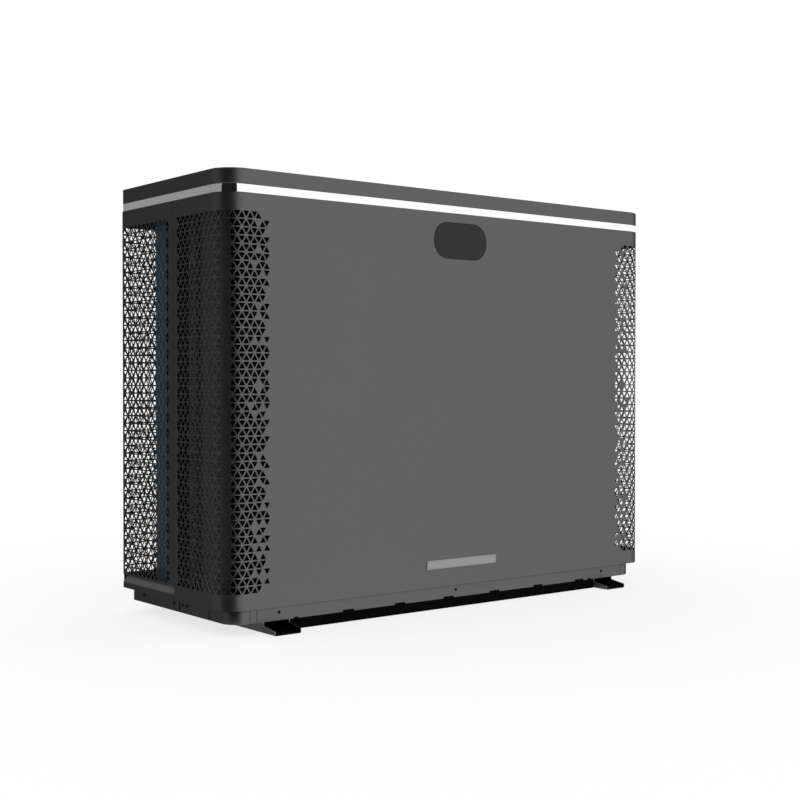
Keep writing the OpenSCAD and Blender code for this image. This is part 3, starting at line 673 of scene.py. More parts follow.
def build_rear_panel():
    """The back, with the coil's window, the water recess and a perforated edge that is cut to width."""
    left, right = -REAR[0].x, -REAR[1].x
    start, cols = 534.5, 9
    end = start + HALF_PITCH * (cols + 1)
    # openings and the holes' field: first and last a, lowest and highest z
    coil = (-243.0, start, 78.0, 862.0)
    water = (-546.0, -414.0, 67.0, 488.0)
    field = (start, end, FIELD_LOW, FIELD_TOP)
    flat = Flat()
    flat.field(start, cols)
    posts = (right, water[0], water[1], coil[0], start, end)
    levels = sorted((PANEL_Z, water[2], coil[2], FIELD_LOW, water[3], coil[3], FIELD_TOP, PANEL_TOP))

    def inside(a, z, box):
        return box[0] < a < box[1] and box[2] < z < box[3]

    for a in posts:
        for z in levels:
            if not (inside(a, z, coil) or inside(a, z, field)):
                flat.point(a, z)
    for a0, a1 in zip(posts, posts[1:]):
        for z0, z1 in zip(levels, levels[1:]):
            middle = ((a0 + a1) / 2, (z0 + z1) / 2)
            if not any(inside(*middle, box) for box in (coil, water, field)):
                flat.fill(a0, a1, z0, z1)
    everything = flat.bm.verts[:] + flat.bm.edges[:] + flat.bm.faces[:]
    bmesh.ops.bisect_plane(flat.bm, geom=everything, dist=0.0001, plane_co=(left, 0, 0), plane_no=(1, 0, 0),
                           clear_outer=True)
    sheet_piece("rear_sheet", flat, rear_place, stands_for=("rear_panel",))


def build_cable_panel():
    """The narrow panel beside the back, with a hole for each cable gland."""
    low, high = mm_box("cable_panel")
    near, far = -high.x, -low.x
    split, reach, hole_r = 580, 40, 10
    flat = Flat()
    for a in (near, far, -GLAND_X):
        flat.point(a, split)
    for z0, z1, gland in zip((split - reach, split), (split, split + reach), GLAND_LEVELS):
        flat.fill(near, far, z0, z1, arc_points(-GLAND_X, gland, hole_r, 0, 352.5, 47))
    flat.fill(near, far, PANEL_Z, split - reach)
    flat.fill(near, far, split + reach, PANEL_TOP)
    sheet_piece("cable_sheet", flat, rear_place, stands_for=("cable_panel",))


# ---------------------------------------------------------------- folded and rolled parts

def turned(cx, cy, r, start, end, steps):
    """A round corner in plan, angles in degrees: points with their outward normals."""
    angles = [math.radians(start + (end - start) * k / steps) for k in range(steps + 1)]
    return [((cx + r * math.cos(a), cy + r * math.sin(a)), (math.cos(a), math.sin(a))) for a in angles]


def flipped(path, s=-1):
    """A path in plan seen in a mirror, where s is -1."""
    return [((s * px, py), (s * nx, ny)) for (px, py), (nx, ny) in path]


def plan_path(inset, y_back):
    """From the left side round the front to the right side: points with their outward normals."""
    x, front, r, soft = HALF_W - inset, FRONT_Y + inset, CORNER_R - inset, 0.6
    path = ([((-x, y_back), (-1, 0)), ((-x, front + r + soft), (-1, 0))]
            + turned(-x + r, front + r, r, 180, 270, 32) + [((-x + r + soft, front), (0, -1))])
    return path + flipped(path)[::-1]


def sweep(bm, path, profile):
    """Carries an (inwards, z) profile along a path in plan."""
    ring_loft(bm, [[(p[0] - n[0] * d, p[1] - n[1] * d, z) for d, z in profile] for p, n in path])


def around():
    """The whole outline in plan, with rounded rear corners, as points with normals."""
    r, soft = 4.0, 0.6
    x, y = HALF_W - r, REAR_Y - r
    return (plan_path(0, y - soft) + turned(x, y, r, 0, 90, 6) + [((x - soft, REAR_Y), (0, 1))]
            + [((-x + soft, REAR_Y), (0, 1))] + turned(-x, y, r, 90, 180, 6))


def build_cover():
    """A shallow lid with an inward flange; its top sheet is flat from a rim inwards."""
    base, top, rim = COVER[0].z, COVER[1].z, 60
    edge = [(3 - 3 * math.cos(math.radians(t)), top - 3 + 3 * math.sin(math.radians(t)))
            for t in range(0, 91, 15)]
    profile = ([(SHEET, top - SHEET), (SHEET, base + SHEET), (30, base + SHEET), (30, base), (1.6, base),
                (1.0, base + 0.15), (0.35, base + 0.6), (0, base + 1.4), (0, base + 2), (0, top - 3.6)]
               + edge + [(3.6, top)])
    plan = around()

    def middle(z):
        return [(max(min(p[0], HALF_W - rim), rim - HALF_W), max(min(p[1], REAR_Y - rim), FRONT_Y + rim), z)
                for p, _ in plan]

    rings = [[(p[0] - n[0] * d, p[1] - n[1] * d, z) for p, n in plan] for d, z in profile]
    bm = bmesh.new()
    ring_loft(bm, [middle(top - SHEET)] + rings + [middle(top)])
    bmesh.ops.remove_doubles(bm, verts=bm.verts, dist=0.0005)
    bmesh.ops.dissolve_degenerate(bm, dist=0.0005, edges=bm.edges)
    piece("cover_sheet", bm, "cabinet_paint", stands_for=("top_cover",))


def strip_profile(low, high, thick=1.5, soft=0.35):
    return [(0, low + soft), (0, high - soft), (soft * 0.3, high - soft * 0.3), (soft, high), (thick, high),
            (thick, low), (soft, low), (soft * 0.3, low + soft * 0.3)]


def build_strips():
    """The bright strip under the cover, in four lengths."""
    x = HALF_W - STRIP_INSET
    r, soft = 1.0, 0.5
    back = ([((-x, mm_box("rear_trim_strip")[0].y), (-1, 0)), ((-x, REAR_Y - r - soft), (-1, 0))]
            + turned(-x + r, REAR_Y - r, r, 180, 90, 4) + [((-x + r + soft, REAR_Y), (0, 1))])
    paths = {"front": plan_path(STRIP_INSET, STRIP[1].y), "rear": back + flipped(back)[::-1]}
    for s in (-1, 1):
        low, high = mm_box(SIDE_NAMES[s] + "_trim_strip")
        paths[SIDE_NAMES[s]] = [((s * x, low.y), (s, 0)), ((s * x, high.y), (s, 0))]
    for name in ("front", "left", "right", "rear"):
        bm = bmesh.new()
        sweep(bm, paths[name], strip_profile(STRIP[0].z, STRIP[1].z))
        piece("strip_" + name, bm, "bright_trim", stands_for=(name + "_trim_strip",))


def build_front_skirt(y, low, high):
    """The lower edge has a row of shallow notches, a short one beside each foot, and one slit."""
    half = SKIRT[1].x
    notches = [(-441, 6, 3)] + [(-305.5 + 142 * k, 15, 4) for k in range(6)] + [(441, 6, 3)]
    # where each stretch starts, and the height of its lower edge
    edges = [(-half, low), (-half + 15.5, None), (-half + 16.5, low)]
    for centre, reach, deep in notches:
        edges += [(centre - reach, low + deep), (centre + reach, low)]
    edges += [(half, low)]
    levels = (low, low + 3, low + 4, high - 3, high)
    flat = Flat()
    for a, _ in edges:
        for z in levels[1:]:
            flat.point(a, z)
    for (a0, start), (a1, _) in zip(edges, edges[1:]):
        for z0, z1 in zip(levels, levels[1:]):
            if z1 == high or (start is not None and z0 >= start):
                flat.fill(a0, a1, z0, z1)

    def place(a, z):
        return Vector((a, y, z)), Vector((0, -1, 0))

    sheet_piece("skirt_front", flat, place, stands_for=("front_skirt",))


def build_skirts():
    """The base skirt: the same sheet all round, cut into sections with small gaps."""
    x, y = HALF_W - SKIRT_IN_X, FRONT_Y + SKIRT_IN_Y
    low, high = SKIRT[0].z, SKIRT[1].z
    build_front_skirt(y, low, high)
    profile = strip_profile(low, high, SHEET, 0.4)
    r, soft = CORNER_R - SKIRT_IN_Y, 0.6
    corner_start, sections = 555, ((-122, -2), (3, mm_box("left_side_skirt")[1].y))
    for s in (-1, 1):
        name = SIDE_NAMES[s]
        corner = ([((corner_start, y), (0, -1)), ((x - r - soft, y), (0, -1))]
                  + turned(x - r, y + r, r, -90, 0, 24)
                  + [((x, y + r + soft), (1, 0)), ((x, mm_box(name + "_corner_skirt")[1].y), (1, 0))])
        bm = bmesh.new()
        sweep(bm, flipped(corner, s), profile)
        piece("skirt_corner_" + name, bm, "cabinet_paint", stands_for=(name + "_corner_skirt",))
        bm = bmesh.new()
        for y0, y1 in sections:
            sweep(bm, [((s * x, y0), (s, 0)), ((s * x, y1), (s, 0))], profile)
        piece("skirt_side_" + name, bm, "cabinet_paint", stands_for=(name + "_side_skirt",))
    bm = bmesh.new()
    back = mm_box("rear_skirt")[1].y
    sweep(bm, [((-x, back), (0, 1)), ((x, back), (0, 1))], strip_profile(low, high, 1.4, 0.4))
    piece("skirt_rear", bm, "cabinet_paint", stands_for=("rear_skirt",))


def folded_section(outer, thick, radius, steps=4):
    """Rounds the corners of an open (x, z) line and gives it a thickness; returns a closed section."""
    line = [Vector(p) for p in outer]
    along = [(b - a).normalized() for a, b in zip(line, line[1:])]
    across = [Vector((-d.y, d.x)) for d in along]

    def offset_line(shift):
        out = [line[0] + across[0] * shift]
        for p, d0, d1, n0, n1 in zip(line[1:], along, along[1:], across, across[1:]):
            side = 1 if d0.cross(d1) > 0 else -1
            centre = p + (n0 + n1) * side * radius / (1 + n0.dot(n1))
            start = math.atan2(-n0.y * side, -n0.x * side)
            turn = math.atan2(d0.cross(d1), d0.dot(d1))
            for k in range(steps + 1):
                a = start + turn * k / steps
                out.append(centre + Vector((math.cos(a), math.sin(a))) * (radius - side * shift))
        return out + [line[-1] + across[-1] * shift]

    return [tuple(p) for p in offset_line(0)] + [tuple(p) for p in reversed(offset_line(thick))]


def build_foot_rail(s):
    """A folded channel with low sloping tips and two anchor holes."""
    centre = s * (RAIL[0].x + RAIL[1].x) / -2
    half, tip = (RAIL[1].x - RAIL[0].x) / 2, RAIL[1].y
    shoulder, full, thick, bend_r = 212.0, 23, 2.5, 3.2
    anchor_y, anchor_r = 241, 6.5
    # y and the height of the webs there
    front = [(-tip, 9.5), (-tip + 0.8, 9.7), (-shoulder - 0.2, 15.9), (-shoulder, full)]
    stations = front + [(0, full)] + [(-y, top) for y, top in reversed(front)]
    rings = []
    for y, top in stations:
        section = folded_section([(-half, top), (-half, 0), (half, 0), (half, top)], thick, bend_r)
        rings.append([(centre + x, y, z) for x, z in section])
    bm = bmesh.new()
    ring_loft(bm, rings)
    edges = [e for e in bm.edges if len(e.link_faces) == 2 and e.calc_face_angle() > math.radians(60)]
    bmesh.ops.bevel(bm, geom=edges, offset=0.35, segments=1, profile=0.6, affect="EDGES", clamp_overlap=True)
    obj = piece("foot_rail_" + SIDE_NAMES[s], bm, "foot_paint", stands_for=(SIDE_NAMES[s] + "_foot_rail",),
                smooth=50)
    bore(obj, [((centre, y, 0), "Z", anchor_r, 8) for y in (-anchor_y, anchor_y)])


def build_lens():
    """The glass of the display, with a fine bevelled rim."""
    front, back = LENS[0].y, LENS[1].y
    stations = ((1.5, back), (0, back - 0.3), (0, front + 0.7), (0.25, front + 0.25), (0.8, front + 0.04),
                (1.6, front), (3.0, front))
    bm = bmesh.new()
    pill_loft(bm, LENS, stations, lambda inset: 38 - inset, 20)
    piece("lens_glass", bm, "display_glass", stands_for=("display_lens",))


def build_nameplate():
    """A blank plate with a shallow groove inside its edge."""
    box = mm_box("nameplate")
    front, back = box[0].y, box[1].y
    stations = ((0, back), (0, front + 0.35), (0.35, front), (1.6, front), (1.9, front + 0.3),
                (2.5, front + 0.3), (2.8, front), (3.4, front))
    bm = bmesh.new()
    pill_loft(bm, box, stations, lambda inset: max(4 - inset, 0.5), 6)
    piece("blank_plate", bm, "plate_metal", stands_for=("nameplate",))


# ---------------------------------------------------------------- coil

def tube(bm, points, r, bend=20.0, sides=12, arc=6):
    """A round pipe along corner points, with bends of a radius."""
    line = [Vector(points[0])]
    for a, b, c in zip(points, points[1:], points[2:]):
        a, b, c = Vector(a), Vector(b), Vector(c)
        u, v = (b - a).normalized(), (c - b).normalized()
        turn = u.angle(v)
        reach = min(bend * math.tan(turn / 2), (b - a).length * 0.49, (c - b).length * 0.49)
        radius = reach / math.tan(turn / 2)
        start = b - u * reach
        inward = (v - u * u.dot(v)).normalized()
        for k in range(arc + 1):
            t = turn * k / arc
            line.append(start + u * radius * math.sin(t) + inward * radius * (1 - math.cos(t)))
    line.append(Vector(points[-1]))
    clean = [line[0]]
    for p in line[1:]:
        if (p - clean[-1]).length > 0.01:
            clean.append(p)
    tangents = []
    for i, p in enumerate(clean):
        before = clean[max(i - 1, 0)]
        after = clean[min(i + 1, len(clean) - 1)]
        tangents.append((after - before).normalized())
    side = tangents[0].orthogonal().normalized()
    rings = []
    angles = [2 * math.pi * k / sides for k in range(sides)]
    for p, t in zip(clean, tangents):
        side = (side - t * side.dot(t)).normalized()
        other = t.cross(side)
        rings.append([p + (side * math.cos(a) + other * math.sin(a)) * r for a in angles])
    ring_loft(bm, rings)


def build_fins():
    """Rippled fins, one behind the other along the coil."""
    low, high = COIL
    pitch, thick, waves, ripple = 2.9, 0.25, 11, 0.45
    step = (high.y - low.y) / waves
    line = [(low.y + step * k, ripple if k % 2 else -ripple) for k in range(waves + 1)]
    bm = bmesh.new()
    for i in range(int((high.x - low.x) / pitch)):
        x = low.x + pitch * (i + 0.5)
        ring = ([(x + dx - thick / 2, y) for y, dx in line]
                + [(x + dx + thick / 2, y) for y, dx in reversed(line)])
        ring_loft(bm, [[(px, py, z) for px, py in ring] for z in (low.z, high.z)])
    piece("coil_fin_stack", bm, "blue_fins", stands_for=("coil_fins",), smooth=0)


def build_coil_copper():
    """Two rows of tubes through the fins, their return bends, and the header with its feeders."""
    low, high = COIL
    end = high.x + SHEET
    bends, first, spacing, bend_r = 16, 93, 50, 12.5
    bm = bmesh.new()
    for y in (low.y + 11, low.y + 33):
        for k in range(bends):
            mid = first + spacing * k
            arc = [(x, y, z) for x, z in arc_points(end, mid, bend_r, -90, 90, 12)]
            tube(bm, [(end - 2, y, mid - bend_r)] + arc + [(end - 2, y, mid + bend_r)], 4.75, 1.0, 12, 1)
            for z in (mid - bend_r, mid + bend_r):
                tube(bm, [(low.x + 0.3, y, z), (high.x - 0.3, y, z)], 4.7, 1.0, 8)
    x, y, r = high.x + 31, low.y + 22, 8.0
    lathe(bm, [(0, 100), (5, 100), (7.2, 101.5), (r, 104), (r, 796), (7.2, 798.5), (5, 800), (0, 800)],
          "Z", (x, y, 0), 28)
    for k in range(8):
        z = 130 + 90 * k
        tube(bm, [(end, y, z), (x - 5, y, z)], 4, 1, 16)
        lathe(bm, [(4.05, x - 12), (5.6, x - 10.5), (4.05, x - 8.5)], "X", (0, y, z), 16)
    piece("coil_copper", bm, "copper", stands_for=("coil_pipework",))


def build_guard():
    """A grid of crossed wires over the coil's window."""
    low, high = mm_box("coil_guard")
    y, edge, wire_r = (low.y + high.y) / 2, 1.5, 0.95
    uprights, bars = 32, 16
    bm = bmesh.new()
    for i in range(uprights + 1):
        x = low.x + edge + (high.x - low.x - 2 * edge) * i / uprights
        tube(bm, [(x, y - 0.5, low.z), (x, y - 0.5, high.z)], wire_r, 1, 6)
    for j in range(bars + 1):
        z = low.z + edge + (high.z - low.z - 2 * edge) * j / bars
        tube(bm, [(low.x, y + 0.5, z), (high.x, y + 0.5, z)], wire_r, 1, 6)
    piece("guard_wires", bm, "black_steel", stands_for=("coil_guard",))


# ---------------------------------------------------------------- fan

def build_fan():
    """A hollow ribbed hub with twisted, swept blades."""
    low, high = mm_box("fan")
    y0, y1 = low.y, high.y
    hub, tip_r = 62.0, (high.x - low.x) / 2 - 0.4
    bm = bmesh.new()
    lathe(bm, [(6.1, y0 + 2), (14, y0), (17, y0), (19, y0 + 6), (50, y0 + 8), (58, y0 + 10.5),
               (hub - 0.4, y0 + 16), (hub, y0 + 20), (hub, y1 - 1), (hub - 2.5, y1), (hub - 4, y1 - 2),
               (hub - 5, y0 + 20), (18, y0 + 14), (16, y1 - 6), (6.1, y1 - 6), (6.1, y0 + 2)],
          "Y", (FAN_X, 0, FAN_Z), 72)
    for k in range(6):
        made = box_mesh(bm, (17, y0 + 12, -1.3), (hub - 4.5, y1 - 8, 1.3))
        bmesh.ops.rotate(bm, verts=made, cent=(0, 0, 0), matrix=Matrix.Rotation(math.radians(60 * k), 3, "Y"))
        bmesh.ops.translate(bm, verts=made, vec=(FAN_X, 0, FAN_Z))
    blades = 5
    for b in range(blades):
        start = len(bm.verts)
        draw_blade(bm, y0, y1, hub, tip_r)
        bm.verts.ensure_lookup_table()
        bmesh.ops.rotate(bm, verts=bm.verts[start:], cent=(FAN_X, 0, FAN_Z),
                         matrix=Matrix.Rotation(2 * math.pi * b / blades + 0.3, 3, "Y"))
    piece("fan_wheel", bm, "fan_plastic", "fan_rotor", ("fan",))


def draw_blade(bm, y0, y1, hub, tip_r):
    """One cambered blade: its sections t = 0 to 1 from the hub out get wider, flatter and thinner."""
    spans, chords = 14, 12
    mid = (y0 + y1) / 2
    reach = min(mid - y0, y1 - mid) - 3
    rings = []
    for i in range(spans + 1):
        t = i / spans
        r = hub - 2 + (tip_r - hub + 2) * t
        pitch = math.radians(38 - 17 * t)
        chord = (92 + 62 * t) * (1 if t < 0.97 else 0.97)
        chord = min(chord, 2 * reach / math.sin(pitch))
        swept = math.radians(16 * t * t - 4 * t)
        ring = []
        for k in range(2 * chords):
            u = k / chords if k <= chords else 2 - k / chords
            side = 1 if k <= chords else -1
            thick = (2.2 - 0.9 * t) * math.sqrt(max(4 * u * (1 - u), 0.0)) + 0.25
            along = (u - 0.5) * chord
            camber = 5.5 * (1 - (2 * u - 1) ** 2)
            x = along * math.cos(pitch) - camber * math.sin(pitch)
            y = along * math.sin(pitch) + camber * math.cos(pitch) + side * thick / 2 - 3
            a = swept + x / r
            ring.append((FAN_X + r * math.cos(a), min(max(mid + y, y0 + 1), y1 - 1), FAN_Z + r * math.sin(a)))
        rings.append(ring)
    ring_loft(bm, rings)


def build_spindle():
    """The fan's shaft, threaded at the front, and its lock nut."""
    low, high = mm_box("fan_shaft")
    thread = [(5.4 + 0.5 * (k % 2), low.y + 1.5 + 0.75 * k) for k in range(18)]
    bm = bmesh.new()
    lathe(bm, [(0, low.y), (4.4, low.y), (5.4, low.y + 1)] + thread
          + [(6, low.y + 16), (6, high.y - 1), (5, high.y), (0, high.y)], "Y", (FAN_X, 0, FAN_Z), 24)
    piece("fan_spindle", bm, "shaft_steel", "fan_rotor", ("fan_shaft",))
    low, high = mm_box("fan_nut")
    bm = bmesh.new()
    nut(bm, FAN_X, FAN_Z, 11, 6.0, low.y, high.y)
    piece("fan_lock_nut", bm, "shaft_steel", "fan_rotor", ("fan_nut",), smooth=30)


def nut(bm, x, z, r, bore_r, y0, y1, soft=1.1):
    """A hexagon nut along Y with its corners turned off."""
    sides, steps = 6, 36

    def hexagon(a):
        return r * math.cos(math.pi / sides) / math.cos(a % (2 * math.pi / sides) - math.pi / sides)

    rings = [ring_across_y(x, y, z, steps, lambda a: min(hexagon(a), r - ease))
             for y, ease in ((y0, soft), (y0 + soft * 0.7, 0), (y1 - soft * 0.7, 0), (y1, soft))]
    rings += [ring_across_y(x, y, z, steps, lambda a: bore_r) for y in (y1, y0)]
    ring_loft(bm, rings, hoop=True)


def build_shroud():
    """A square plate skinned from its rim to the round mouth, which runs forward as a short duct."""
    low, high = mm_box("fan_shroud")
    r, steps = 267.0, 96
    y0, y1 = low.y, high.y
    plate_y = y1 - 4
    half = (high.x - low.x) / 2

    def square(depth, inset):
        def reach(a):
            c, s = abs(math.cos(a)), abs(math.sin(a))
            up = (high.z - FAN_Z if math.sin(a) > 0 else FAN_Z - low.z) - inset
            return min((half - inset) / c if c > 1e-6 else 1e9, up / s if s > 1e-6 else 1e9)
        return ring_across_y(FAN_X, depth, FAN_Z, steps, reach)

    def circle(depth, radius):
        return ring_across_y(FAN_X, depth, FAN_Z, steps, lambda a: radius)

    duct = ((plate_y, r + 10), (plate_y - 1, r + 6), (plate_y - 4, r + 4), (y0 + 1, r + 4), (y0, r + 3),
            (y0, r + 1), (y0 + 1, r), (y1 - 0.6, r), (y1, r + 1))
    bm = bmesh.new()
    ring_loft(bm, [square(y1, 0), square(plate_y, 0), square(plate_y, 1.5)] + [circle(*c) for c in duct],
              hoop=True)
    piece("shroud_moulding", bm, "black_plastic", stands_for=("fan_shroud",))


def build_motor():
    """A can with cooling grooves and a stepped nose."""
    low, high = mm_box("fan_motor")
    y0, y1 = low.y, high.y
    profile = [(6.2, y0 + 1), (8, y0), (22, y0), (24, y0 + 2), (24, y0 + 10), (27, y0 + 12.2),
               (54, y0 + 12.2), (57, y0 + 14), (58, y0 + 17)]
    for k in range(10):
        y = y0 + 22 + k * 6.2
        profile += [(58, y), (55, y + 0.6), (55, y + 2.6), (58, y + 3.2)]
    profile += [(58, y1 - 4), (55, y1), (0, y1)]
    bm = bmesh.new()
    lathe(bm, profile, "Y", (FAN_X, 0, FAN_Z), 64)
    piece("motor_can", bm, "motor_paint", stands_for=("fan_motor",))


# ---------------------------------------------------------------- compressor and refrigerant circuit

def domed(r, z0, z1, dome):
    """A pressed can: side wall with rounded ends, as (radius, height) points."""
    flat, rim, steps = 0.60 * r, 0.40 * r, 8
    low = [(math.radians(-90 + 90 * k / steps), z0 + dome) for k in range(1, steps + 1)]
    high = [(math.radians(90 * k / steps), z1 - dome) for k in range(steps)]
    sides = [(flat + rim * math.cos(a), z + dome * math.sin(a)) for a, z in low + high]
    return [(0, z0)] + sides + [(flat, z1), (0, z1)]


def build_compressor():
    """The welded can on its foot plate, its terminal cover, the accumulator, and three rubber mounts."""
    feet = [(COMP.x + 75 * math.cos(math.radians(120 * k + 30)),
             COMP.y + 75 * math.sin(math.radians(120 * k + 30)), 0) for k in range(3)]
    bm = bmesh.new()
    shell = domed(60, 60, 360, 16)
    weld = [(60, 84), (61.2, 85.5), (61.2, 88.5), (60, 90)]
    seam = [(60, 318), (61.4, 320), (61.4, 325), (60, 327)]
    low = [p for p in shell if p[1] <= 80]
    high = [p for p in shell if p[1] > 330]
    lathe(bm, low + weld + seam + high, "Z", COMP, 56)
    lathe(bm, [(36, 61), (36, 58), (86.5, 58), (88, 59), (88, 61), (87, 62), (62, 62), (60.5, 64), (36, 64),
               (36, 61)], "Z", COMP, 56)
    for at in feet:
        lathe(bm, [(4.6, 61.9), (10.5, 61.9), (10.5, 62.0), (4.6, 62.0), (4.6, 61.9)], "Z", at, 24)
    soft_box(bm, (COMP.x - 22, COMP.y - 84, 240), (COMP.x + 22, COMP.y - 50, 300), 5, 4)
    piece("compressor_shell", bm, "motor_paint", stands_for=("compressor",))
    bm = bmesh.new()
    beside = (COMP.x + 97, COMP.y, 0)
    lathe(bm, domed(30, 110, 350, 14), "Z", beside, 40)
    for z in (180, 280):
        lathe(bm, [(29.9, z), (30.0, z + 0.5), (30.0, z + 11.5), (29.9, z + 12)], "Z", beside, 40)
    piece("accumulator_can", bm, "motor_paint", stands_for=("accumulator",))
    rubber, steel = bmesh.new(), bmesh.new()
    for at in feet:
        lathe(rubber, [(4.6, 25), (11, 25), (12, 26), (12, 36), (10.5, 38), (9, 40), (9, 43), (10.5, 45),
                       (12, 47), (12, 57), (11, 58), (4.6, 58), (4.6, 25)], "Z", at, 32)
        lathe(steel, [(0, 25), (4, 25), (4, 77), (3.3, 78), (0, 78)], "Z", at, 20)
        hexagon = arc_points(0, 0, 8, 0, 300, 5)
        ring_loft(steel, [[(at[0] + x * f, at[1] + y * f, z) for x, y in hexagon]
                          for z, f in ((62, 0.95), (62.8, 1), (68, 1), (69, 0.93))])
    piece("grommets", rubber, "seal_rubber", stands_for=("compressor_grommets",))
    piece("mount_bolts", steel, "shaft_steel", stands_for=("compressor_bolts",))


def build_pipes():
    """The copper circuit between compressor, valves, coil and exchanger, and the two valves."""
    x, y, top, back = COMP.x, COMP.y, 487, EXCHANGER_Y
    bm = bmesh.new()
    tube(bm, [(x, y, 359), (x, y, 454)], 6.4)
    tube(bm, [(x + 60, y, 92), (x + 97, y, 92), (x + 97, y, 111)], 8, 14, 16)
    tube(bm, [(x - 25, y, top - 2), (x - 25, y, 560), (x - 25, 169, 560), (296.5, 169, 560)], 8, 26, 16, 8)
    tube(bm, [(x, y, top - 2), (x, y, 515), (x, y - 45, 515), (x + 97, y - 45, 515), (x + 97, y - 45, 420),
              (x + 97, y, 420), (x + 97, y, 349)], 8, 20, 16, 8)
    tube(bm, [(x + 25, y, top - 2), (x + 25, y, 575), (x + 25, back, 575), (WATER_X, back, 575),
              (WATER_X, back, 534)], 8, 24, 16, 8)
    tube(bm, [(396, back, 60), (340, back, 60), (340, back, 151)], 5, 16, 12, 8)
    tube(bm, [(325, back, 175), (289, back, 175), (289, 161.5, 175)], 5, 14, 12, 8)
    for z in (365, 448):
        lathe(bm, [(6.4, z), (8.0, z + 1.4), (8.0, z + 3.6), (6.4, z + 5)], "Z", (x, y, 0), 20)
    piece("copper_pipes", bm, "copper", stands_for=("refrigerant_pipes",))
    bm = bmesh.new()
    half_body = [(17, 43), (16, 45), (13, 47), (13, 54), (11, 55), (0, 55)]
    lathe(bm, [(r, x - d) for r, d in reversed(half_body)] + [(r, x + d) for r, d in half_body],
          "X", (0, y, 470), 40)
    for dx in (-25, 0, 25):
        lathe(bm, [(8.1, 483), (10.5, 484), (10.5, 489), (8.1, 490.5)], "Z", (x + dx, y, 0), 24)
    pilot = [(0, 58), (5, 58), (5, 55), (13, 55), (14, 53.5), (14, 20), (13, 18.5), (6, 18.5), (6, 14)]
    lathe(bm, [(r, y - d) for r, d in pilot], "Y", (x - 25, 0, 470), 32)
    piece("reversing_valve", bm, "valve_brass", stands_for=("four_way_valve",))
    bm = bmesh.new()
    lathe(bm, [(0, 150), (9, 150), (9, 158), (13, 160), (14, 162), (14, 188), (13, 190), (10, 191),
               (10, 195.2), (18, 195.2), (19, 197), (19, 226), (17.5, 228.5), (15, 229), (0, 229)],
          "Z", (340, back, 0), 40)
    tube(bm, [(327.5, back, 175), (326, back, 175)], 7.5, 1, 16)
    piece("metering_valve", bm, "valve_brass", stands_for=("expansion_valve",))


def build_exchanger():
    """A grooved cylinder between two caps, with a collared stub for each union."""
    low, high = mm_box("heat_exchanger")
    y, r, cap = EXCHANGER_Y, 85.0, 92.0
    z0, z1 = low.z, high.z
    profile = [(0, z0), (cap - 2, z0), (cap, z0 + 2), (cap, z0 + 17), (cap - 2, z0 + 20), (r, z0 + 21)]
    for k in range(7):
        z = z0 + 64 + 58 * k
        profile += [(r, z), (r - 2.2, z + 2), (r - 2.2, z + 7), (r, z + 9)]
    profile += [(r, z1 - 21), (cap - 2, z1 - 20), (cap, z1 - 17), (cap, z1 - 3), (cap - 3, z1), (26, z1),
                (24, z1 - 2), (0, z1 - 2)]
    bm = bmesh.new()
    lathe(bm, profile, "Z", (WATER_X, y, 0), 64)
    for z in WATER_LEVELS.values():
        lathe(bm, [(20, y + 60), (30, y + 60), (30, y + 92), (31.2, y + 93), (31.2, y + 95), (30, y + 96),
                   (30, STUB_END), (20, STUB_END), (20, y + 60)], "Y", (WATER_X, 0, z), 48)
    piece("exchanger_shell", bm, "exchanger_plastic", stands_for=("heat_exchanger",))


# ---------------------------------------------------------------- water and cable connections

def build_union_ends():
    """The threaded bodies on the exchanger's stubs, and the socket tails that meet them."""
    end, face, tail_face, bore_r = mm_box("union_tails")[1].y, 212, 212.1, 20
    thread = []
    for k in range(5):
        y = 197.2 + 2.9 * k
        thread += [(32.2, y), (33, y + 0.8), (33, y + 1.5), (32.2, y + 2.3)]
    body = ([(bore_r, STUB_END), (39, STUB_END), (40, 187), (40, 195), (39, 196), (32.2, 196)] + thread
            + [(32.2, 211.4), (31.5, face), (bore_r, face), (bore_r, STUB_END)])
    tail = [(bore_r, tail_face), (32.5, tail_face), (32.9, 212.6), (32.9, 216.5), (32.4, 217), (29, 217),
            (29, end - 1.2), (28, end), (26.2, end), (25.2, end - 1.0), (25.2, end - 31), (bore_r, end - 31),
            (bore_r, tail_face)]
    bodies, tails = bmesh.new(), bmesh.new()
    for z in WATER_LEVELS.values():
        lathe(bodies, body, "Y", (WATER_X, 0, z), 64)
        lathe(tails, tail, "Y", (WATER_X, 0, z), 64)
    piece("union_threads", bodies, "exchanger_plastic", stands_for=("union_bodies",))
    piece("union_sockets", tails, "exchanger_plastic", stands_for=("union_tails",))


def build_union_nut(name, z):
    """A captive nut with scallops for the grip round its outside."""
    low, high = mm_box(name + "_union_nut")
    y0, y1, r, steps = low.y, high.y, 43.0, 192

    def scallop(a):
        return max(0.0, math.cos(8 * a)) ** 3 * 2.4

    outside = ((y0, 1.5), (y0 + 1.5, 0), (y1 - 4, 0), (y1 - 1.2, 1.4), (y1, 3.2))
    inside = ((y1, 30.2), (y1 - 1, 29.15), (217.3, 29.15), (217.2, 33.15), (y0 + 0.8, 33.15), (y0, 34))
    rings = ([ring_across_y(WATER_X, y, z, steps, lambda a: r - ease - scallop(a)) for y, ease in outside]
             + [ring_across_y(WATER_X, y, z, steps, lambda a: inner) for y, inner in inside])
    bm = bmesh.new()
    ring_loft(bm, rings, hoop=True)
    piece(name + "_nut_grip", bm, "black_plastic", name + "_nut", (name + "_union_nut",))


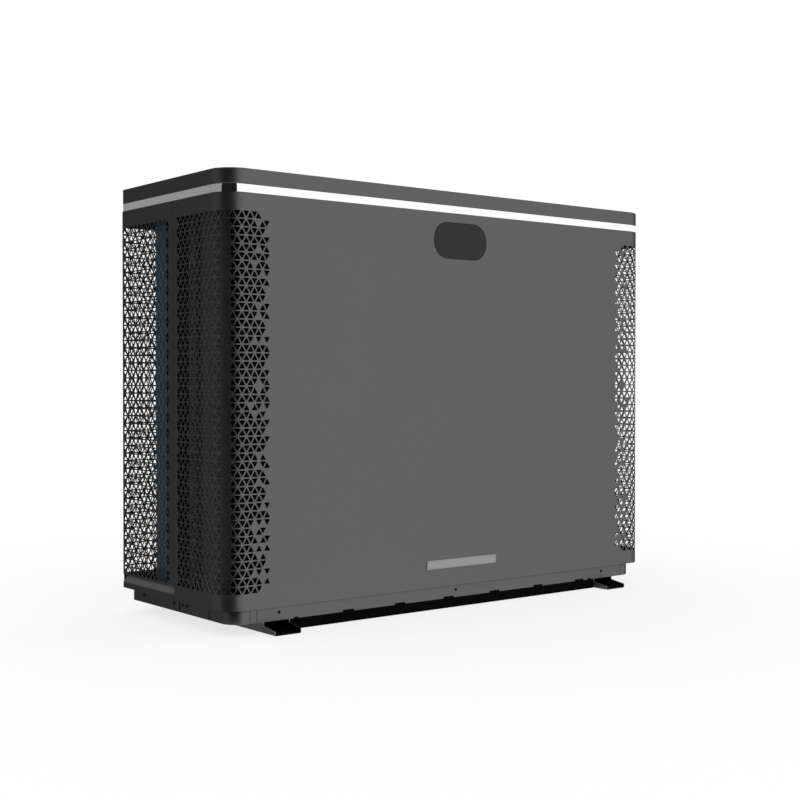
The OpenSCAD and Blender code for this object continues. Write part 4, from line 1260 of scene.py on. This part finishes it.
def build_glands():
    """A hexagon on each side of the panel, and a ribbed seal nut outside."""
    grip = []
    for k in range(4):
        grip += [(11, 222.5 + 2.2 * k), (10.5, 223.2 + 2.2 * k)]
    bm = bmesh.new()
    for z in GLAND_LEVELS:
        nut(bm, GLAND_X, z, 13, 7.05, 212, 221.8, soft=1.2)
        nut(bm, GLAND_X, z, 12.4, 9.9, 205, 210.4, soft=0.8)
        lathe(bm, [(7, 200), (9.7, 200), (9.8, 201), (9.8, 212), (10.8, 221.9)] + grip
              + [(11, 231.5), (10.2, 234), (8.8, 235.6), (7.6, 236), (7, 235.6), (7, 200)],
              "Y", (GLAND_X, 0, z), 40)
    piece("gland_bodies", bm, "black_plastic", stands_for=("cable_glands",))


def build_drain():
    """A ribbed hose barb with a flange on the base pan."""
    barb = [(9.3 + 0.7 * (k % 2), 6 + 2.2 * k) for k in range(6)]
    bm = bmesh.new()
    lathe(bm, [(7, 3), (9, 3), (10, 5)] + barb
          + [(10, 19), (10, 22.8), (9, 22.9), (9, 25.1), (15.4, 25.1), (16, 25.6), (16, 26.6), (15.4, 27),
             (8, 27), (7, 26), (7, 3)], "Z", (-150, 60, 0), 36)
    piece("drain_barb", bm, "black_plastic", stands_for=("drain_spout",))


def build_connection_box():
    """A tray that is open to the rear, with a hole for each union."""
    box = mm_box("connection_box")
    front, back = box[0].y, box[1].y
    stations = ((1.2, front), (0, front + 1.2), (0, back), (2, back), (2, front + 3.2), (3.2, front + 2))
    bm = bmesh.new()
    pill_loft(bm, box, stations, lambda inset: 3.0, 5)
    obj = piece("connection_tray", bm, "black_plastic", stands_for=("connection_box",))
    bore(obj, [((WATER_X, front, z), "Y", 41.5, 6) for z in WATER_LEVELS.values()])


# ---------------------------------------------------------------- electrics and fasteners

def build_electronics():
    """The inverter board on its heat sink with parts scattered over it, and the display's small board."""
    left, face, sink = 330, -104, (650, 830)
    board, metal, dark = bmesh.new(), bmesh.new(), bmesh.new()
    soft_box(board, (left, face, 640), (left + 170, face + 1.8, 840), 0.4, 1)
    soft_box(metal, (left, -90, sink[0]), (left + 159, -84.2, sink[1]), 0.6, 1)
    for k in range(13):
        x = left + 12 * k
        soft_box(metal, (x + 0.3, -84.4, sink[0]), (x + 3, -56, sink[1]), 0.5, 1)
    post = [(0, face - 0.8), (3.4, face - 0.8), (4, face - 0.2), (4, -92), (0, -92)]
    for x in (left + 10, left + 160):
        for z in sink:
            lathe(metal, post, "Y", (x, 0, z), 20)
    capacitor = [(0, -146), (14.5, -146), (16, -144.6), (16, -110), (15, -108.4), (16, -107), (16, -104.1),
                 (0, -104.1)]
    for k in range(4):
        lathe(dark, capacitor, "Y", (352, 0, 668 + 46 * k), 32)
    spread = random.Random(7)
    for k in range(26):
        x, z = spread.uniform(378, 488), spread.uniform(652, 828)
        w, h, t = spread.uniform(3, 13), spread.uniform(3, 10), spread.uniform(2, 9)
        soft_box(dark, (x, face - t, z), (min(x + w, 494), face - 0.05, min(z + h, 836)), 0.4, 1)
    # the terminal block with its screws, and the reactor on its foot
    shelf = 602.2
    soft_box(dark, (left, -150, shelf), (left + 100, -120, 626), 1.2)
    for k in range(7):
        lathe(metal, [(0, -151.2), (3.2, -151.2), (3.8, -150.6), (3.8, -149.6), (0, -149.6)],
              "Y", (left + 8 + 13.5 * k, 0, 614), 16)
    soft_box(metal, (455, -160, shelf), (525, -110, 606), 0.8)
    soft_box(dark, (462, -156, 606.1), (518, -114, 632), 3.5, 3)
    piece("inverter_board", board, "circuit_board", stands_for=("control_electronics",))
    piece("heat_sink", metal, "galvanised_steel")
    piece("board_parts", dark, "black_plastic")
    low, high = mm_box("display_board")
    board, chips = bmesh.new(), bmesh.new()
    soft_box(board, low, high, 0.3, 1)
    piece("display_circuit", board, "circuit_board", stands_for=("display_board",))
    for k in range(9):
        x, z = spread.uniform(low.x + 6, high.x - 16), spread.uniform(low.z + 5, high.z - 12)
        front = low.y - spread.uniform(1.2, 3.5)
        soft_box(chips, (x, front, z), (x + spread.uniform(4, 10), low.y + 0.1, z + 6), 0.3, 1)
    piece("display_chips", chips, "black_plastic")


def draw_screw(bm, at, out):
    """A pan head with a round recess, and its shank, pointing out of the sheet."""
    head, high = 3.6, 1.8
    drawing = bmesh.new()
    lathe(drawing, [(0, 0), (head - 0.1, 0), (head, 0.25), (head - 0.15, 0.8), (head - 0.8, 1.45),
                    (head - 1.8, high), (1.9, high), (1.7, high - 0.5), (0.5, high - 0.9), (0, high - 0.9)],
          "Z", (0, 0, 0), 20)
    lathe(drawing, [(0, 0.1), (1.9, 0.1), (1.9, -4.5), (0.6, -6), (0, -6)], "Z", (0, 0, 0), 12)
    turn = Vector((0, 0, 1)).rotation_difference(Vector(out)).to_matrix().to_4x4()
    bmesh.ops.transform(drawing, matrix=Matrix.Translation(at) @ turn, verts=drawing.verts)
    shell = bpy.data.meshes.new("screw_tmp")
    drawing.to_mesh(shell)
    drawing.free()
    bm.from_mesh(shell)
    bpy.data.meshes.remove(shell)


def build_screws():
    """Screws through the skirt, the rear panels and the cover's back edge."""
    front, side = FRONT_Y + SKIRT_IN_Y, HALF_W - SKIRT_IN_X
    skirt_z, cover_z = 40, 934
    places = [((x, front, skirt_z), (0, -1, 0)) for x in (-484, 0, 484)]
    places += [((s * side, FRONT_Y + back, skirt_z), (s, 0, 0)) for s in SIDE_NAMES
               for back in (197, 216, 252, 390)]
    behind = [(-606, 68), (-400, 880), (0, 880), (400, 880), (608, 150), (608, 478), (608, 806)]
    behind += [(x, cover_z) for x in (-500, 0, 500)]
    places += [((x, REAR_Y, z), (0, 1, 0)) for x, z in behind]
    bm = bmesh.new()
    for at, out in places:
        draw_screw(bm, at, out)
    piece("screw_heads", bm, "screw_steel", stands_for=("screws",))


# ---------------------------------------------------------------- build everything

build_front_panel()
for side in SIDE_NAMES:
    build_side_panel(side)
build_rear_panel()
build_cable_panel()
build_cover()
build_strips()
build_skirts()
for side in SIDE_NAMES:
    build_foot_rail(side)
build_lens()
build_nameplate()
build_fins()
build_coil_copper()
build_guard()
build_fan()
build_spindle()
build_shroud()
build_motor()
build_compressor()
build_pipes()
build_exchanger()
build_union_ends()
for which, level in WATER_LEVELS.items():
    build_union_nut(which, level)
build_glands()
build_drain()
build_connection_box()
build_electronics()
build_screws()

# the remaining folded parts keep their CAD shape, with their edges broken
for node_name, obj in frame["nodes"].items():
    slot = SLOT_OF[node_name]
    obj.data.materials.clear()
    obj.data.materials.append(MATERIALS[slot])
    if not obj.hide_render:
        edge = obj.modifiers.new("broken_edges", "BEVEL")
        edge.width = 0.0004
        edge.segments = 2
        edge.limit_method = "ANGLE"
        edge.angle_limit = math.radians(40)


# ---------------------------------------------------------------- stage, light and camera

def stage_material(name, own, glow, rough=0.5):
    """A grey that reflects light by its own colour and gives off a glow besides, without any shine."""
    mat = bpy.data.materials.new(name)
    mat.use_nodes = True
    inputs = mat.node_tree.nodes["Principled BSDF"].inputs
    inputs["Base Color"].default_value = colour(own)
    inputs["Specular IOR Level"].default_value = 0
    inputs["Roughness"].default_value = rough
    inputs["Emission Color"].default_value = colour(glow)
    inputs["Emission Strength"].default_value = 1.0
    return mat


def card(name, start, end, value, radius=4.5, low=-3.0, high=5.0):
    """A tall curved card, in metres, that only reflections see; angles go left of -Y, in degrees."""
    steps = 24
    verts = []
    for k in range(steps + 1):
        a = math.radians(start + (end - start) * k / steps)
        verts += [(-radius * math.sin(a), -radius * math.cos(a), z) for z in (low, high)]
    mesh = bpy.data.meshes.new(name)
    mesh.from_pydata(verts, [], [(2 * k, 2 * k + 2, 2 * k + 3, 2 * k + 1) for k in range(steps)])
    mesh.materials.append(stage_material(name, 0.0, value))
    obj = new_object(name, mesh)
    for ray in ("camera", "diffuse", "shadow", "transmission", "volume_scatter"):
        setattr(obj, "visible_" + ray, False)


def build_stage():
    """A pale floor, a dark and a grey card that the sheet metal mirrors, and a white surround."""
    half, z = 60.0, -0.0002
    mesh = bpy.data.meshes.new("floor")
    corners = [(-half, -half, z), (half, -half, z), (half, half, z), (-half, half, z)]
    mesh.from_pydata(corners, [], [(0, 1, 2, 3)])
    # part lit, part its own glow, so that it meets the pale surround without a horizon
    mesh.materials.append(stage_material("floor_paint", 0.25, 0.75, 0.9))
    floor = new_object("floor", mesh)
    floor.visible_glossy = False
    card("flag_dark", 16.5, 81.0, 0.010, high=7.0)
    card("flag_grey", 81.0, 215.0, 0.28)

    world = bpy.data.worlds.new("studio")
    bpy.context.scene.world = world
    world.use_nodes = True
    world.node_tree.nodes["Background"].inputs["Color"].default_value = (1.0, 1.0, 1.0, 1)
    world.node_tree.nodes["Background"].inputs["Strength"].default_value = 1.0


def build_camera():
    """Stands at the front left; its heading goes right of +Y and its pitch below the horizon, in degrees."""
    heading, pitch = 38.37, 0.822
    data = bpy.data.cameras.new("camera")
    data.lens = 60.24
    data.sensor_width = 36.0
    data.clip_end = 200.0
    camera = new_object("camera", data)
    camera.location = (-2.0089, -2.5426, 0.5203)
    camera.rotation_euler = (math.radians(90 - pitch), 0, -math.radians(heading))
    bpy.context.scene.camera = camera

build_stage()
build_camera()
bpy.context.scene.view_settings.view_transform = "Standard"
